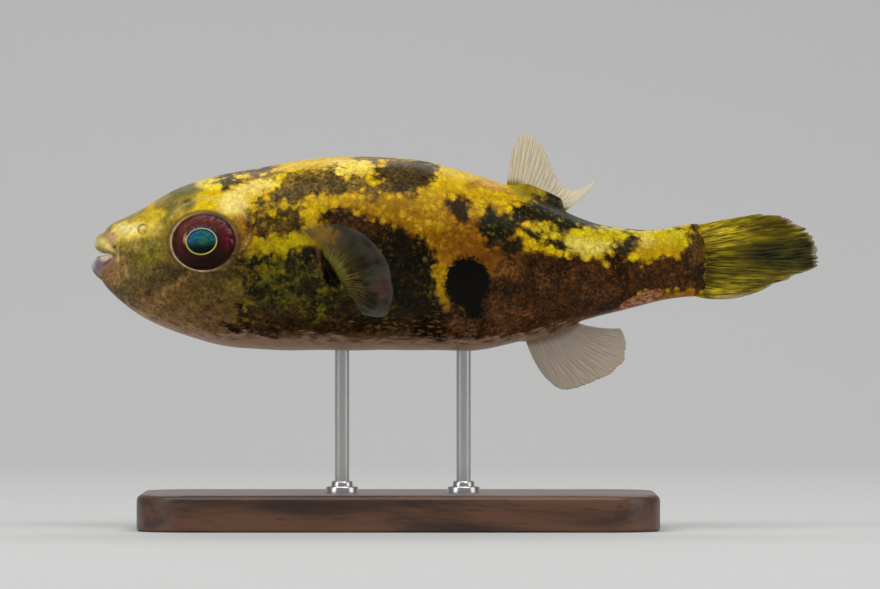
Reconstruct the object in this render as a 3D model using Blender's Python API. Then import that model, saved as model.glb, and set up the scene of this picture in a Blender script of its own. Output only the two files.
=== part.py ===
"""A small freshwater pufferfish at life size, as a still model on a plain display stand.

The fish swims towards -X, +Z is up and y = 0 is its middle plane, so its left side faces -Y.
The floor is z = 0 and the box round the whole model is centred on the origin. Its flesh is
one lofted body, parted by thin cuts into lips, head, trunk and tail stem, with the eyes set
in sockets and each fin in a piece of its own. Two rods carry it over a flat base.
"""

from math import cos, pi, sin, sqrt

import bmesh
import bpy
import numpy as np
from mathutils import Vector

MM = 0.001

# Driving dimensions, in millimetres.
LENGTH = 90.0  # foremost point of the lower lip to the tip of the tail fin
BELLY_HEIGHT = 22.0  # floor to the lowest line of the belly
GAP = 0.3  # clearance between neighbouring pieces

# The body, at distances from the snout. Back, waist and belly are heights above the lowest
# line of the belly. The waist is the widest level, and half_width is half the width there.
# Fullness is the power of the section: 2 is an ellipse, and more is squarer.
BODY = {
    "along": (3.0, 6.0, 10.0, 15.0, 21.0, 28.0, 35.0, 42.0, 48.0, 54.0, 60.0, 66.0, 71.0, 75.0),
    "back": (16.05, 17.5, 19.75, 21.5, 22.7, 23.85, 24.0, 23.3, 21.6, 19.5, 16.6, 15.15, 15.2, 15.9),
    "waist": (11.7, 11.4, 11.2, 11.1, 10.9, 10.7, 10.6, 10.4, 10.4, 10.4, 10.3, 10.4, 10.9, 11.3),
    "belly": (6.9, 4.4, 2.2, 0.75, 0.15, 0.05, 0.05, 0.05, 0.1, 1.5, 3.5, 5.1, 6.3, 6.7),
    "half_width": (3.7, 5.6, 7.3, 8.9, 10.0, 10.5, 10.4, 9.7, 8.6, 7.1, 5.5, 4.0, 3.0, 2.3),
    "fullness": (2.1, 2.3, 2.45, 2.45, 2.4, 2.35, 2.3, 2.3, 2.25, 2.2, 2.15, 2.1, 2.1, 2.1),
}
HEAD_FRONT = 3.1
GILL_CUT = 26.6  # the head ends at the gill opening
STEM_CUT = 58.0  # the tail stem starts behind the dorsal fin
STEM_END = 74.3
RING_SIDES = 36
RING_STEP = 1.85

# The lips, two rounded lobes parted by the mouth's line.
LIP_BACK = HEAD_FRONT - GAP
MOUTH_LEVEL = 11.85
LIP_SIDES = 20
LIP_RINGS = 7
LIP_HALF_WIDTH = 3.55

# The eyes, flattened balls that look out along the head's own slope.
EYE_ALONG = 14.25
EYE_LEVEL = 13.3
EYE_RADIUS = 4.3
EYE_HALF_DEPTH = 2.2
EYE_SUNK = 0.9

# The fins. A fin's thickness is made of its sheet, its rays and its fleshy root.
SHEET_HALF = 0.26
RAY_HALF = 0.36
PECTORAL_ROOT = 0.65
PECTORAL_LIFT = 2.8  # how much further its edge stands off the body than its root

# The stand.
BASE_LENGTH = 64.0
BASE_WIDTH = 34.0
BASE_HEIGHT = 4.5
BASE_CORNER = 7.0
BASE_BEVEL = 0.8
BASE_ALONG = 38.0
ROD_RADIUS = 0.9
ROD_DEPTH = 1.5  # how deep a rod stands in the base and in the belly
ROD_SIDES = 16
RODS = {"stand_rod_front": 31.0, "stand_rod_rear": 46.0}


def place(along, across, height):
    """A point by its distance from the snout, from the middle and over the belly's line."""
    return Vector((along - LENGTH / 2, across, height + BELLY_HEIGHT)) * MM


def smooth_curve(knots, values):
    """A natural cubic spline through the values, as a function."""
    knots, values = np.array(knots, float), np.array(values, float)
    step = np.diff(knots)
    last = len(knots) - 1
    matrix, right = np.eye(last + 1), np.zeros(last + 1)
    for i in range(1, last):
        matrix[i, i - 1 : i + 2] = step[i - 1], 2 * (step[i - 1] + step[i]), step[i]
        slopes = (values[i + 1] - values[i]) / step[i], (values[i] - values[i - 1]) / step[i - 1]
        right[i] = 6 * (slopes[0] - slopes[1])
    bend = np.linalg.solve(matrix, right)

    def value(at):
        i = int(np.clip(np.searchsorted(knots, at) - 1, 0, last - 1))
        b = (at - knots[i]) / step[i]
        a = 1 - b
        curve = (a**3 - a) * bend[i] + (b**3 - b) * bend[i + 1]
        return float(a * values[i] + b * values[i + 1] + curve * step[i] ** 2 / 6)

    return value


def smooth_path(points):
    """A smooth line through (along, height) points, as a function of 0 to 1 along it."""
    steps = [sqrt((b[0] - a[0]) ** 2 + (b[1] - a[1]) ** 2) for a, b in zip(points, points[1:])]
    knots = np.concatenate(([0], np.cumsum(steps))) / sum(steps)
    along = smooth_curve(knots, [p[0] for p in points])
    height = smooth_curve(knots, [p[1] for p in points])
    return lambda t: (along(t), height(t))


PROFILE = {key: smooth_curve(BODY["along"], BODY[key]) for key in BODY if key != "along"}


def flank(along, height):
    """How far the body's surface is from the middle plane, at a place in side view."""
    waist = PROFILE["waist"](along)
    edge = PROFILE["back" if height > waist else "belly"](along)
    power = PROFILE["fullness"](along)
    share = min(abs((height - waist) / (edge - waist)), 1.0)
    return PROFILE["half_width"](along) * (1 - share**power) ** (1 / power)


def flank_normal(along, height):
    """The way the left-hand side of the body faces there, for a body mirrored to +Y."""
    step = 0.5
    by_along = (flank(along + step, height) - flank(along - step, height)) / (2 * step)
    by_height = (flank(along, height + step) - flank(along, height - step)) / (2 * step)
    return Vector((-by_along, 1.0, -by_height)).normalized()


def signed_power(value, power):
    return abs(value) ** power * (1 if value >= 0 else -1)


def section(along, half_width, top, waist, bottom, fullness, sides):
    """One ring across the body: half a superellipse over the waist and half under it."""
    ring = []
    for k in range(sides):
        angle = 2 * pi * k / sides
        rise = signed_power(sin(angle), 2 / fullness)
        height = waist + rise * (top - waist if rise > 0 else waist - bottom)
        ring.append(place(along, half_width * signed_power(cos(angle), 2 / fullness), height))
    return ring


def material(name, color, roughness, metallic=0.0):
    made = bpy.data.materials.new(name)
    made.use_nodes = True
    shader = made.node_tree.nodes["Principled BSDF"]
    shader.inputs["Base Color"].default_value = (*color, 1.0)
    shader.inputs["Roughness"].default_value = roughness
    shader.inputs["Metallic"].default_value = metallic
    return made


def finish(name, bm, look, parent=None):
    """Turns a bmesh into a named, smooth-shaded object with its material."""
    bmesh.ops.recalc_face_normals(bm, faces=bm.faces)
    mesh = bpy.data.meshes.new(name)
    bm.to_mesh(mesh)
    bm.free()
    mesh.shade_smooth()
    mesh.set_sharp_from_angle(angle=pi / 5)
    mesh.materials.append(look)
    made = bpy.data.objects.new(name, mesh)
    made.parent = parent
    bpy.context.collection.objects.link(made)
    return made


def cut(piece, cutter):
    """Takes the cutter's shape out of the piece, and keeps the cutter out of the model."""
    modifier = piece.modifiers.new("cut for " + cutter.name, "BOOLEAN")
    modifier.operation = "DIFFERENCE"
    modifier.solver = "EXACT"
    modifier.object = cutter
    cutter.hide_render = True
    cutter.display_type = "WIRE"


def loft(name, rings, look, parent):
    """A closed solid through rings of equal count, with flat ends."""
    bm = bmesh.new()
    rows = [[bm.verts.new(point) for point in ring] for ring in rings]
    sides = len(rows[0])
    for low, high in zip(rows, rows[1:]):
        for k in range(sides):
            n = (k + 1) % sides
            bm.faces.new((low[k], low[n], high[n], high[k]))
    bm.faces.new(rows[0])
    bm.faces.new(rows[-1])
    return finish(name, bm, look, parent)


def body_length(name, start, end, look, parent):
    """A length of the body between two upright cuts."""
    count = max(2, round((end - start) / RING_STEP))
    rings = []
    for i in range(count + 1):
        along = start + (end - start) * i / count
        at = {key: PROFILE[key](along) for key in PROFILE}
        rings.append(
            section(along, at["half_width"], at["back"], at["waist"], at["belly"], at["fullness"], RING_SIDES)
        )
    return loft(name, rings, look, parent)


def round_off(share):
    """The height of a quarter circle, at a share of its width from the tip."""
    share = min(share, 1.0)
    return sqrt(share * (2 - share))


def lip(name, tip_along, tip_level, lobe, slope, upwards, look, parent):
    """A lobe that rounds off to its tip and slopes back into the head's outline.

    The lobe stands out from the tip's level by lobe, and then by slope over the rest of
    its length. Upwards is 1 for the upper lip and -1 for the lower one.
    """
    rings = []
    for i in range(LIP_RINGS):
        share = 1 - cos(pi / 2 * i / (LIP_RINGS - 1))
        shape = max(share, 0.012)
        outer = tip_level + upwards * (
            lobe * round_off(shape / 0.35) + slope * max(0.0, shape - 0.35) / 0.65
        )
        mouth = MOUTH_LEVEL + upwards * GAP / 2
        inner = tip_level + (mouth - tip_level) * round_off(shape / 0.6)
        waist = inner + (outer - inner) * 0.38
        top, bottom = max(inner, outer), min(inner, outer)
        along = tip_along + (LIP_BACK - tip_along) * share
        half_width = LIP_HALF_WIDTH * round_off(shape)
        rings.append(section(along, half_width, top, waist, bottom, 2.2, LIP_SIDES))
    return loft(name, rings, look, parent)


def flat_ball(name, grow, side, look, parent):
    """An eye's flattened ball on one side of the head, or its socket if it grows."""
    bm = bmesh.new()
    bmesh.ops.create_uvsphere(bm, u_segments=22, v_segments=12, radius=1.0)
    radius, depth = (EYE_RADIUS + grow) * MM, (EYE_HALF_DEPTH + grow) * MM
    bmesh.ops.scale(bm, vec=(radius, radius, depth), verts=bm.verts)
    ball = finish(name, bm, look, parent)
    facing = flank_normal(EYE_ALONG, EYE_LEVEL)
    middle = place(EYE_ALONG, flank(EYE_ALONG, EYE_LEVEL), EYE_LEVEL) - facing * EYE_SUNK * MM
    mirror = Vector((1, side, 1))
    ball.location = middle * mirror
    ball.rotation_mode = "QUATERNION"
    ball.rotation_quaternion = (facing * mirror).to_track_quat("Z", "Y")
    return ball


def fin(name, base, margin, rays, rows, bow, across, root, look, parent):
    """A closed fin of rays that fan out from its base line to its margin.

    base and margin give (along, height) at 0 to 1 from the first ray to the last. bow is
    how far a ray bends tailwards, or down on a fin that points back. across gives the
    sheet's distance from the middle plane, and root the half thickness of its fleshy root.
    """
    bm = bmesh.new()
    columns = 2 * rays
    faces = {-1: [], 1: []}
    for i in range(columns + 1):
        t = i / columns
        start, end = Vector(base(t)), Vector(margin(t))
        sideways = Vector((end.y - start.y, start.x - end.x)).normalized()
        for half_side in faces:
            faces[half_side].append([])
        for j in range(rows + 1):
            r = j / rows
            spot = start.lerp(end, r) + sideways * bow(t) * 4 * r * (1 - r)
            ridge = RAY_HALF if i % 2 == 0 else SHEET_HALF
            half = ridge + root(t) * (1 - r) ** 3
            middle = across(spot.x, spot.y, t, r)
            for half_side in faces:
                point = place(spot.x, middle + half_side * half, spot.y)
                faces[half_side][i].append(bm.verts.new(point))
    for half_side, grid in faces.items():
        for i in range(columns):
            for j in range(rows):
                quad = (grid[i][j], grid[i + 1][j], grid[i + 1][j + 1], grid[i][j + 1])
                bm.faces.new(quad if half_side > 0 else quad[::-1])
    rim = [(i, 0) for i in range(columns)] + [(columns, j) for j in range(rows)]
    rim += [(i, rows) for i in range(columns, 0, -1)] + [(0, j) for j in range(rows, 0, -1)]
    for (i, j), (k, m) in zip(rim, rim[1:] + rim[:1]):
        near, far = faces[-1], faces[1]
        bm.faces.new((near[i][j], near[k][m], far[k][m], far[i][j]))
    return finish(name, bm, look, parent)


def rounded_slab(name, length, width, height, look):
    """The stand's base: a rectangle with round corners and a bevelled upper edge."""
    bm = bmesh.new()
    corner_steps = 6

    def outline(inset, level):
        points = []
        radius = BASE_CORNER - inset
        for quarter in range(4):
            sign_x = 1 if quarter in (0, 3) else -1
            sign_y = 1 if quarter in (0, 1) else -1
            middle = Vector((sign_x * (length / 2 - BASE_CORNER), sign_y * (width / 2 - BASE_CORNER)))
            for k in range(corner_steps + 1):
                angle = pi / 2 * (quarter + k / corner_steps)
                points.append(middle + radius * Vector((cos(angle), sin(angle))))
        return [bm.verts.new(Vector((p.x, p.y, level)) * MM) for p in points]

    rings = [outline(0, 0), outline(0, height - BASE_BEVEL), outline(BASE_BEVEL, height)]
    count = len(rings[0])
    for low, high in zip(rings, rings[1:]):
        for k in range(count):
            n = (k + 1) % count
            bm.faces.new((low[k], low[n], high[n], high[k]))
    bm.faces.new(rings[0])
    bm.faces.new(rings[-1])
    slab = finish(name, bm, look)
    slab.location = ((BASE_ALONG - LENGTH / 2) * MM, 0, 0)
    return slab


def upright(name, radius, along, low, high, look, parent=None):
    """A round rod or a round hole's cutter, from one height over the floor to another."""
    bm = bmesh.new()
    bmesh.ops.create_cone(
        bm,
        cap_ends=True,
        segments=ROD_SIDES,
        radius1=radius * MM,
        radius2=radius * MM,
        depth=(high - low) * MM,
    )
    rod = finish(name, bm, look, parent)
    rod.location = Vector((along - LENGTH / 2, 0, (low + high) / 2)) * MM
    return rod


def pectoral_distance(along, height, r):
    """How far the pectoral fin's sheet is from the middle plane, r of the way to its edge."""
    root = GAP + RAY_HALF + PECTORAL_ROOT * (1 - r) ** 3
    return flank(along, height) + root + PECTORAL_LIFT * r * r


def build_flesh(fish):
    skin = material("yellow and brown skin", (0.50, 0.38, 0.05), 0.4)
    lip_skin = material("pale lip", (0.52, 0.46, 0.36), 0.4)
    eye_look = material("dark red eye", (0.12, 0.02, 0.02), 0.12)
    head = body_length("head", HEAD_FRONT, GILL_CUT - GAP / 2, skin, fish)
    body_length("trunk", GILL_CUT + GAP / 2, STEM_CUT - GAP / 2, skin, fish)
    body_length("tail_stem", STEM_CUT + GAP / 2, STEM_END, skin, fish)
    lip("upper_lip", 0.37, 13.3, 1.2, 1.4, 1, lip_skin, fish)
    lip("lower_lip", 0.0, 10.6, 1.3, 2.25, -1, lip_skin, fish)
    for side, name in ((-1, "left"), (1, "right")):
        flat_ball("eye_" + name, 0, side, eye_look, fish)
        cut(head, flat_ball("socket_" + name, GAP, side, eye_look, fish))


def build_fins(fish):
    web = material("fin web", (0.55, 0.50, 0.36), 0.45)
    tail_web = material("tail fin web", (0.42, 0.38, 0.08), 0.45)

    def back_line(t):
        along = 51.3 + 7.0 * t
        return along, PROFILE["back"](along) + GAP

    def belly_line(t):
        along = 53.6 + 6.0 * t
        return along, PROFILE["belly"](along) - GAP

    dorsal_margin = smooth_path(
        [(52.0, 25.0), (53.5, 27.0), (55.8, 25.3), (57.3, 21.8), (59.2, 20.0), (62.6, 21.4)]
    )
    fin(
        "dorsal_fin", back_line, dorsal_margin, 10, 6, lambda t: 0.35 * t,
        lambda along, height, t, r: 1.4 * r * r * t,
        lambda t: 0.45, web, fish,
    )
    anal_margin = smooth_path(
        [(56.3, -3.8), (58.3, -4.9), (60.8, -4.5), (63.4, -3.4), (65.5, -2.0), (66.2, 0.4), (65.4, 2.8)]
    )
    fin(
        "anal_fin", belly_line, anal_margin, 11, 6, lambda t: 0.3,
        lambda along, height, t, r: -0.9 * r * sin(pi * t),
        lambda t: 0.4, web, fish,
    )
    tail_margin = smooth_path(
        [
            (83.0, 16.9), (86.0, 16.2), (88.6, 14.9), (LENGTH, 12.2), (89.0, 10.5), (86.6, 9.3),
            (83.4, 7.9), (80.8, 6.9),
        ]
    )
    fin(
        "caudal_fin", lambda t: (STEM_END + GAP, 15.7 - 8.9 * t), tail_margin, 11, 9,
        lambda t: 0.6 * t - 0.1,
        lambda along, height, t, r: 0.7 * sin(pi * r) * sin(pi * t),
        lambda t: 1.3 * sin(pi * t), tail_web, fish,
    )
    pectoral_margin = smooth_path(
        [(26.4, 14.9), (31.2, 15.6), (35.6, 12.8), (37.4, 7.6), (36.6, 4.4), (33.6, 4.6)]
    )
    for side, name in ((-1, "left"), (1, "right")):
        fin(
            "pectoral_fin_" + name, lambda t: (28.6 + 2.3 * t, 12.6 - 6.2 * t),
            pectoral_margin, 11, 6, lambda t: 0.0,
            lambda along, height, t, r: side * pectoral_distance(along, height, r),
            lambda t: PECTORAL_ROOT, web, fish,
        )


def build_stand(trunk):
    wood = material("dark wood", (0.10, 0.05, 0.03), 0.45)
    steel = material("brushed steel", (0.62, 0.62, 0.62), 0.3, 1.0)
    base = rounded_slab("stand_base", BASE_LENGTH, BASE_WIDTH, BASE_HEIGHT, wood)
    for name, along in RODS.items():
        belly = BELLY_HEIGHT + PROFILE["belly"](along)
        foot, top = BASE_HEIGHT - ROD_DEPTH, belly + ROD_DEPTH
        upright(name, ROD_RADIUS, along, foot, top, steel)
        hole = ROD_RADIUS + GAP
        cut(base, upright("hole_under_" + name, hole, along, foot - GAP, BASE_HEIGHT + 1, wood))
        cut(trunk, upright("hole_over_" + name, hole, along, belly - 2, top + GAP, steel))


def main():
    for old in list(bpy.data.objects):
        bpy.data.objects.remove(old, do_unlink=True)
    fish = bpy.data.objects.new("fish", None)
    bpy.context.collection.objects.link(fish)
    build_flesh(fish)
    build_fins(fish)
    build_stand(bpy.data.objects["trunk"])


main()
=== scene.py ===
# %% [markdown]
# # A freshwater pufferfish on its display stand
# The real fish is a rounded bag of smooth, wet skin with a small beak behind soft lips, big
# eyes set in folds, and thin fins that row like oars. Here it is a museum's life-size model:
# one continuous skin, two glossy eyes, five kinds of fin and a plain stand of wood and steel.
# The construction model gives every place and size, so it is loaded first as a fixed frame.

import bmesh
import bpy
import numpy as np
from math import cos, pi, radians, sin
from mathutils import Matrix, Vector


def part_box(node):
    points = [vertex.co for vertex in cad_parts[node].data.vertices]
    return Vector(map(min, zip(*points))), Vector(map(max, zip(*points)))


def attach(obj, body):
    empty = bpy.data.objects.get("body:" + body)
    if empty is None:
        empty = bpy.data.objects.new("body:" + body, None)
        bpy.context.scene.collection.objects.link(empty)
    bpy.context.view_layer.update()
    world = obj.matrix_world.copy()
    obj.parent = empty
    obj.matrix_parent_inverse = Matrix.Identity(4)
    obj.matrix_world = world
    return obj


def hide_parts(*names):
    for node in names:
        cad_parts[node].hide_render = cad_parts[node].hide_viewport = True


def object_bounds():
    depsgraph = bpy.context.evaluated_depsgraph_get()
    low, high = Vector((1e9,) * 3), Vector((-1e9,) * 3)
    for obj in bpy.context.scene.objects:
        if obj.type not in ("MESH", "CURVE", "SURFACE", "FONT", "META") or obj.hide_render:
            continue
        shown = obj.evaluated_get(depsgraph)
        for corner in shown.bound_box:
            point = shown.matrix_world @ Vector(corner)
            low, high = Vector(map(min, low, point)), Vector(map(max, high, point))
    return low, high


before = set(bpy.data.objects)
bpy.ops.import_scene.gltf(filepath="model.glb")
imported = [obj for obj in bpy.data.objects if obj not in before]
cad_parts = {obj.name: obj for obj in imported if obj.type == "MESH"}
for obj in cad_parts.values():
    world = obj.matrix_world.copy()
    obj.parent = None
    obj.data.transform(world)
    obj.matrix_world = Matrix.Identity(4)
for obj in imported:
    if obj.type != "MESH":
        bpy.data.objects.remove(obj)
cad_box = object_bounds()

print("frame nodes:", sorted(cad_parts))

# %% [markdown]
# ## A ruler for the fish
# A maker measures a fish along its body, not in a room's coordinates. So every size below is
# in millimetres on a fish 90 long: along from the snout, across from the middle plane, and
# high over the lowest line of the belly. One helper turns those three into the frame's metres.

# %% The fish's own ruler
FISH_LENGTH = 90.0
MM = (cad_box[1].x - cad_box[0].x) / FISH_LENGTH
SNOUT_X = cad_box[0].x
BELLY_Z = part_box("trunk")[0].z - 0.05 * MM


def to_world(along, across, height):
    """Points in metres from arrays of millimetres on the fish."""
    parts = np.broadcast_arrays(SNOUT_X + along * MM, across * MM, BELLY_Z + height * MM)
    return np.stack(parts, axis=-1)


def smoothstep(low, high, value):
    """0 under low, 1 over high, and an easy slope between them."""
    t = np.clip((value - low) / (high - low), 0.0, 1.0)
    return t * t * (3 - 2 * t)


print(f"one millimetre of fish is {MM * 1000:.4f} mm, belly line at {BELLY_Z * 1000:.2f} mm")

# %% [markdown]
# ## Smooth lines through a few measured stations
# A boat builder draws a hull from a few stations and bends a thin batten through them. A
# natural cubic spline is that batten in numbers: it passes through each value and bends as
# little as it can. It needs far fewer numbers than a dense outline and gives no flat spots.

# %% The batten
def batten(knots, values, at):
    """A natural cubic spline through the values, read at any number of places."""
    knots = np.asarray(knots, float)
    values = np.asarray(values, float)
    step = np.diff(knots)
    last = len(knots) - 1
    matrix = np.eye(last + 1)
    right = np.zeros(last + 1)
    for i in range(1, last):
        matrix[i, i - 1 : i + 2] = step[i - 1], 2 * (step[i - 1] + step[i]), step[i]
        slope_after = (values[i + 1] - values[i]) / step[i]
        slope_before = (values[i] - values[i - 1]) / step[i - 1]
        right[i] = 6 * (slope_after - slope_before)
    bend = np.linalg.solve(matrix, right)
    i = np.clip(np.searchsorted(knots, at) - 1, 0, last - 1)
    b = (at - knots[i]) / step[i]
    a = 1 - b
    curve = ((a**3 - a) * bend[i] + (b**3 - b) * bend[i + 1]) * step[i] ** 2 / 6
    return a * values[i] + b * values[i + 1] + curve


# %% [markdown]
# ## The stations of the body
# Each station is a closed ring round the body. From the cheeks to the tail the rings stand
# upright. At the snout they bend: the middle of each lip stands forward of the mouth's
# corners, and the last rings roll over the lips and into the shut mouth. So every station
# says how far along its top, side and underside are, and then its back, waist and belly
# heights, its half width at the waist and its fullness, which is 2 for an ellipse.

# %% Stations
COLUMNS = ("top", "side", "under", "back", "waist", "belly", "half_width", "fullness")
SNOUT_STATIONS = {
    -3.2: (3.0, 3.6, 3.0, 11.90, 11.86, 11.82, 1.60, 2.0),
    -2.2: (2.3, 3.1, 2.2, 12.00, 11.86, 11.76, 1.85, 2.0),
    -1.2: (1.55, 2.7, 1.3, 12.12, 11.86, 11.70, 2.05, 2.0),
    -0.5: (0.74, 2.4, 0.48, 12.52, 11.85, 11.42, 2.25, 2.0),
    0.0: (0.42, 2.25, 0.06, 13.15, 11.84, 10.78, 2.45, 2.0),
    0.8: (0.72, 2.45, 0.33, 14.15, 11.82, 9.65, 2.72, 2.0),
    1.7: (1.50, 2.90, 1.2, 14.72, 11.80, 8.65, 3.05, 2.05),
    2.7: (2.40, 3.45, 2.3, 15.60, 11.75, 7.42, 3.50, 2.1),
    4.0: (3.90, 4.40, 3.9, 16.38, 11.65, 5.95, 4.40, 2.2),
}
UPRIGHT_STATIONS = {
    6.0: (17.42, 11.4, 4.40, 5.6, 2.3),
    10.0: (19.75, 11.2, 2.50, 7.3, 2.45),
    15.0: (21.50, 11.1, 0.92, 8.9, 2.45),
    21.0: (22.70, 10.9, 0.15, 10.0, 2.4),
    28.0: (23.85, 10.7, 0.05, 10.5, 2.35),
    35.0: (24.00, 10.6, 0.05, 10.4, 2.3),
    42.0: (23.30, 10.4, 0.05, 9.7, 2.3),
    48.0: (21.60, 10.4, 0.10, 8.6, 2.25),
    54.0: (19.50, 10.4, 1.50, 7.1, 2.2),
    60.0: (16.60, 10.3, 3.50, 5.5, 2.15),
    66.0: (15.15, 10.4, 5.10, 4.0, 2.1),
    71.0: (15.20, 10.9, 6.30, 3.0, 2.1),
}
TAIL_STATIONS = {
    73.6: (73.6, 73.6, 73.6, 15.70, 11.3, 6.65, 2.15, 2.1),
    74.8: (74.5, 74.9, 74.7, 15.75, 11.3, 6.72, 1.35, 2.0),
    75.8: (75.0, 75.7, 75.3, 15.65, 11.3, 6.85, 0.60, 2.0),
    76.5: (75.2, 76.2, 75.7, 15.35, 11.3, 7.10, 0.09, 2.0),
}
SKIN_INSET = 0.05
stations = {**SNOUT_STATIONS, **TAIL_STATIONS}
for along, row in UPRIGHT_STATIONS.items():
    stations[along] = (along, along, along, *row)
KNOTS = sorted(stations)


def measure(column, run):
    """One column of the stations at any run along the body, the snout's rings included."""
    values = [stations[k][COLUMNS.index(column)] for k in KNOTS]
    return batten(KNOTS, values, run)


print(len(KNOTS), "stations")

# %% [markdown]
# ## From a station to a ring
# A ring is half a superellipse over the waist and half a flatter one under it. The angle
# starts at the belly, climbs the right-hand side, crosses the back and comes down the left.
# Its sine also says how far a point leans towards the ring's top or underside, which is
# what bends the rings of the snout.

# %% Rings
def power(value, exponent):
    return np.sign(value) * np.abs(value) ** exponent


def ring_points(run, angle):
    """Along, across and height, in millimetres, for a run along the body and an angle."""
    bend = 2 / measure("fullness", run)
    rise = power(np.sin(angle), bend)
    waist = measure("waist", run)
    side = measure("side", run)
    soft = 0.12
    lean = (np.sqrt(rise**2 + soft**2) - soft) / (np.sqrt(1 + soft**2) - soft)
    end_along = np.where(rise > 0, measure("top", run), measure("under", run))
    end_height = np.where(
        rise > 0, measure("back", run) - SKIN_INSET, measure("belly", run) + SKIN_INSET
    )
    along = side + (end_along - side) * lean
    across = (measure("half_width", run) - SKIN_INSET) * power(np.cos(angle), bend)
    return along, across, waist + (end_height - waist) * np.abs(rise)


def flank(along, height):
    """How far the skin is from the middle plane at a place seen from the side."""
    waist = measure("waist", along)
    edge = np.where(
        height > waist, measure("back", along) - SKIN_INSET, measure("belly", along) + SKIN_INSET
    )
    bend = measure("fullness", along)
    share = np.clip(np.abs((height - waist) / (edge - waist)), 0, 1)
    return (measure("half_width", along) - SKIN_INSET) * (1 - share**bend) ** (1 / bend)


def flank_facing(along, height, step=0.5):
    """The outward direction of the right-hand flank there."""
    by_along = (flank(along + step, height) - flank(along - step, height)) / (2 * step)
    by_height = (flank(along, height + step) - flank(along, height - step)) / (2 * step)
    facing = np.stack([-by_along, np.ones_like(by_along), -by_height], axis=-1)
    return facing / np.linalg.norm(facing, axis=-1, keepdims=True)


# %% [markdown]
# ## Where the eyes sit
# The construction model's eye gives the middle of the eyeball. The eye looks out along the
# slope of the head there, and the lids lie in the plane where the ball breaks the skin.

# %% Eye places
EYE_SUNK = 0.9
EYE_RADIUS = 4.3
EYE_HALF_DEPTH = 2.2
ball = (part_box("eye_right")[0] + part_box("eye_right")[1]) / 2
ball_middle = np.array([(ball.x - SNOUT_X) / MM, ball.y / MM, (ball.z - BELLY_Z) / MM])
eye_facing = flank_facing(ball_middle[0] - 0.3, ball_middle[2] + 0.1)
eye_middle = ball_middle + eye_facing * EYE_SUNK
EYE_ALONG, EYE_HEIGHT = eye_middle[0], eye_middle[2]
print("eye at", eye_middle.round(2), "facing", eye_facing.round(3))

# %% [markdown]
# ## Relief: what the skin does besides being round
# Folds, slits and swellings are small compared with the body, so they are added as a height
# along the skin's own outward direction. Written as short formulas in side view they stay
# easy to move: a ring-shaped fold over the eye, wrinkles behind the mouth, the gill opening,
# a hollow behind the oar-like fin's root, and fleshy ridges that carry the upright fins.

# %% Relief helpers
def bump(value, width):
    """A smooth bump 1 high and about twice the width across."""
    return np.exp(-((value / width) ** 2))


def band(value, low, high, soft):
    """1 between low and high, fading over soft."""
    return smoothstep(low - soft, low + soft, value) * (1 - smoothstep(high - soft, high + soft, value))


def groove(along, height, mark):
    """1 on the middle line of a short tilted groove, 0 away from it."""
    at_along, at_height, reach, width, tilt = mark
    dx, dy = along - at_along, height - at_height
    along_it = dx * cos(radians(tilt)) + dy * sin(radians(tilt))
    across_it = dy * cos(radians(tilt)) - dx * sin(radians(tilt))
    return np.exp(-((along_it / reach) ** 4)) * bump(across_it, width)


LIP_GROOVES = ((2.1, 10.93, 0.95, 0.22, 41), (2.2, 13.6, 1.2, 0.22, -44))
GILL_HEIGHTS = (7.2, 8.0, 9.5, 11.0, 12.3)
GILL_ALONG = (31.0, 30.4, 29.55, 28.9, 28.65)


def gill_distance(along, height):
    """How far behind the gill opening's curved line a place is."""
    return along - batten(GILL_HEIGHTS, GILL_ALONG, np.clip(height, 6.4, 13.6))


def eye_polar(along, height):
    """Distance from the eye's middle in side view, and the angle up from the tail's way."""
    return (
        np.hypot(along - EYE_ALONG, height - EYE_HEIGHT),
        np.arctan2(height - EYE_HEIGHT, along - EYE_ALONG),
    )


# %% [markdown]
# ## Lines that shape and colour share
# A fold looks real when its colour sits exactly on its shape. So the lines of the brow, the
# cheek fold, the gill opening and the nostril are written once here, each as a distance or a
# place, and both the relief and the colours read them.

# %% Shared lines
NOSTRIL = (6.6, 14.95)
NOSTRIL_HOLE = (6.8, 14.75)


def brow_distance(far, turn):
    """How far outside the brow's line a place round the eye is."""
    return far - 5.55 - 0.35 * np.cos(turn + 0.6)


def cheek_distance(far, turn):
    """How far outside the fold behind and under the eye a place is."""
    return far - 4.35 - 1.5 * smoothstep(-0.45, 0.35, turn)


def gill_pit(along, height):
    """1 in the depth of the gill opening and 0 beside it."""
    width = 0.26 + 0.42 * bump(height - 9.0, 1.3)
    return bump(gill_distance(along, height), width) * band(height, 7.6, 12.2, 0.6)


# %% [markdown]
# ## The relief
# Each fold is one small wave added to the plain ring: the lid's bulge, the brow, the cheek
# fold behind the eye, the wrinkles at the mouth's corner and the swellings at the fins'
# roots. A sculptor would press them in with a loop tool; here each is a bump of known width.

# %% The relief itself
DORSAL_ROOT = (51.2, 58.2)
ANAL_ROOT = (53.4, 59.9)


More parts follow.
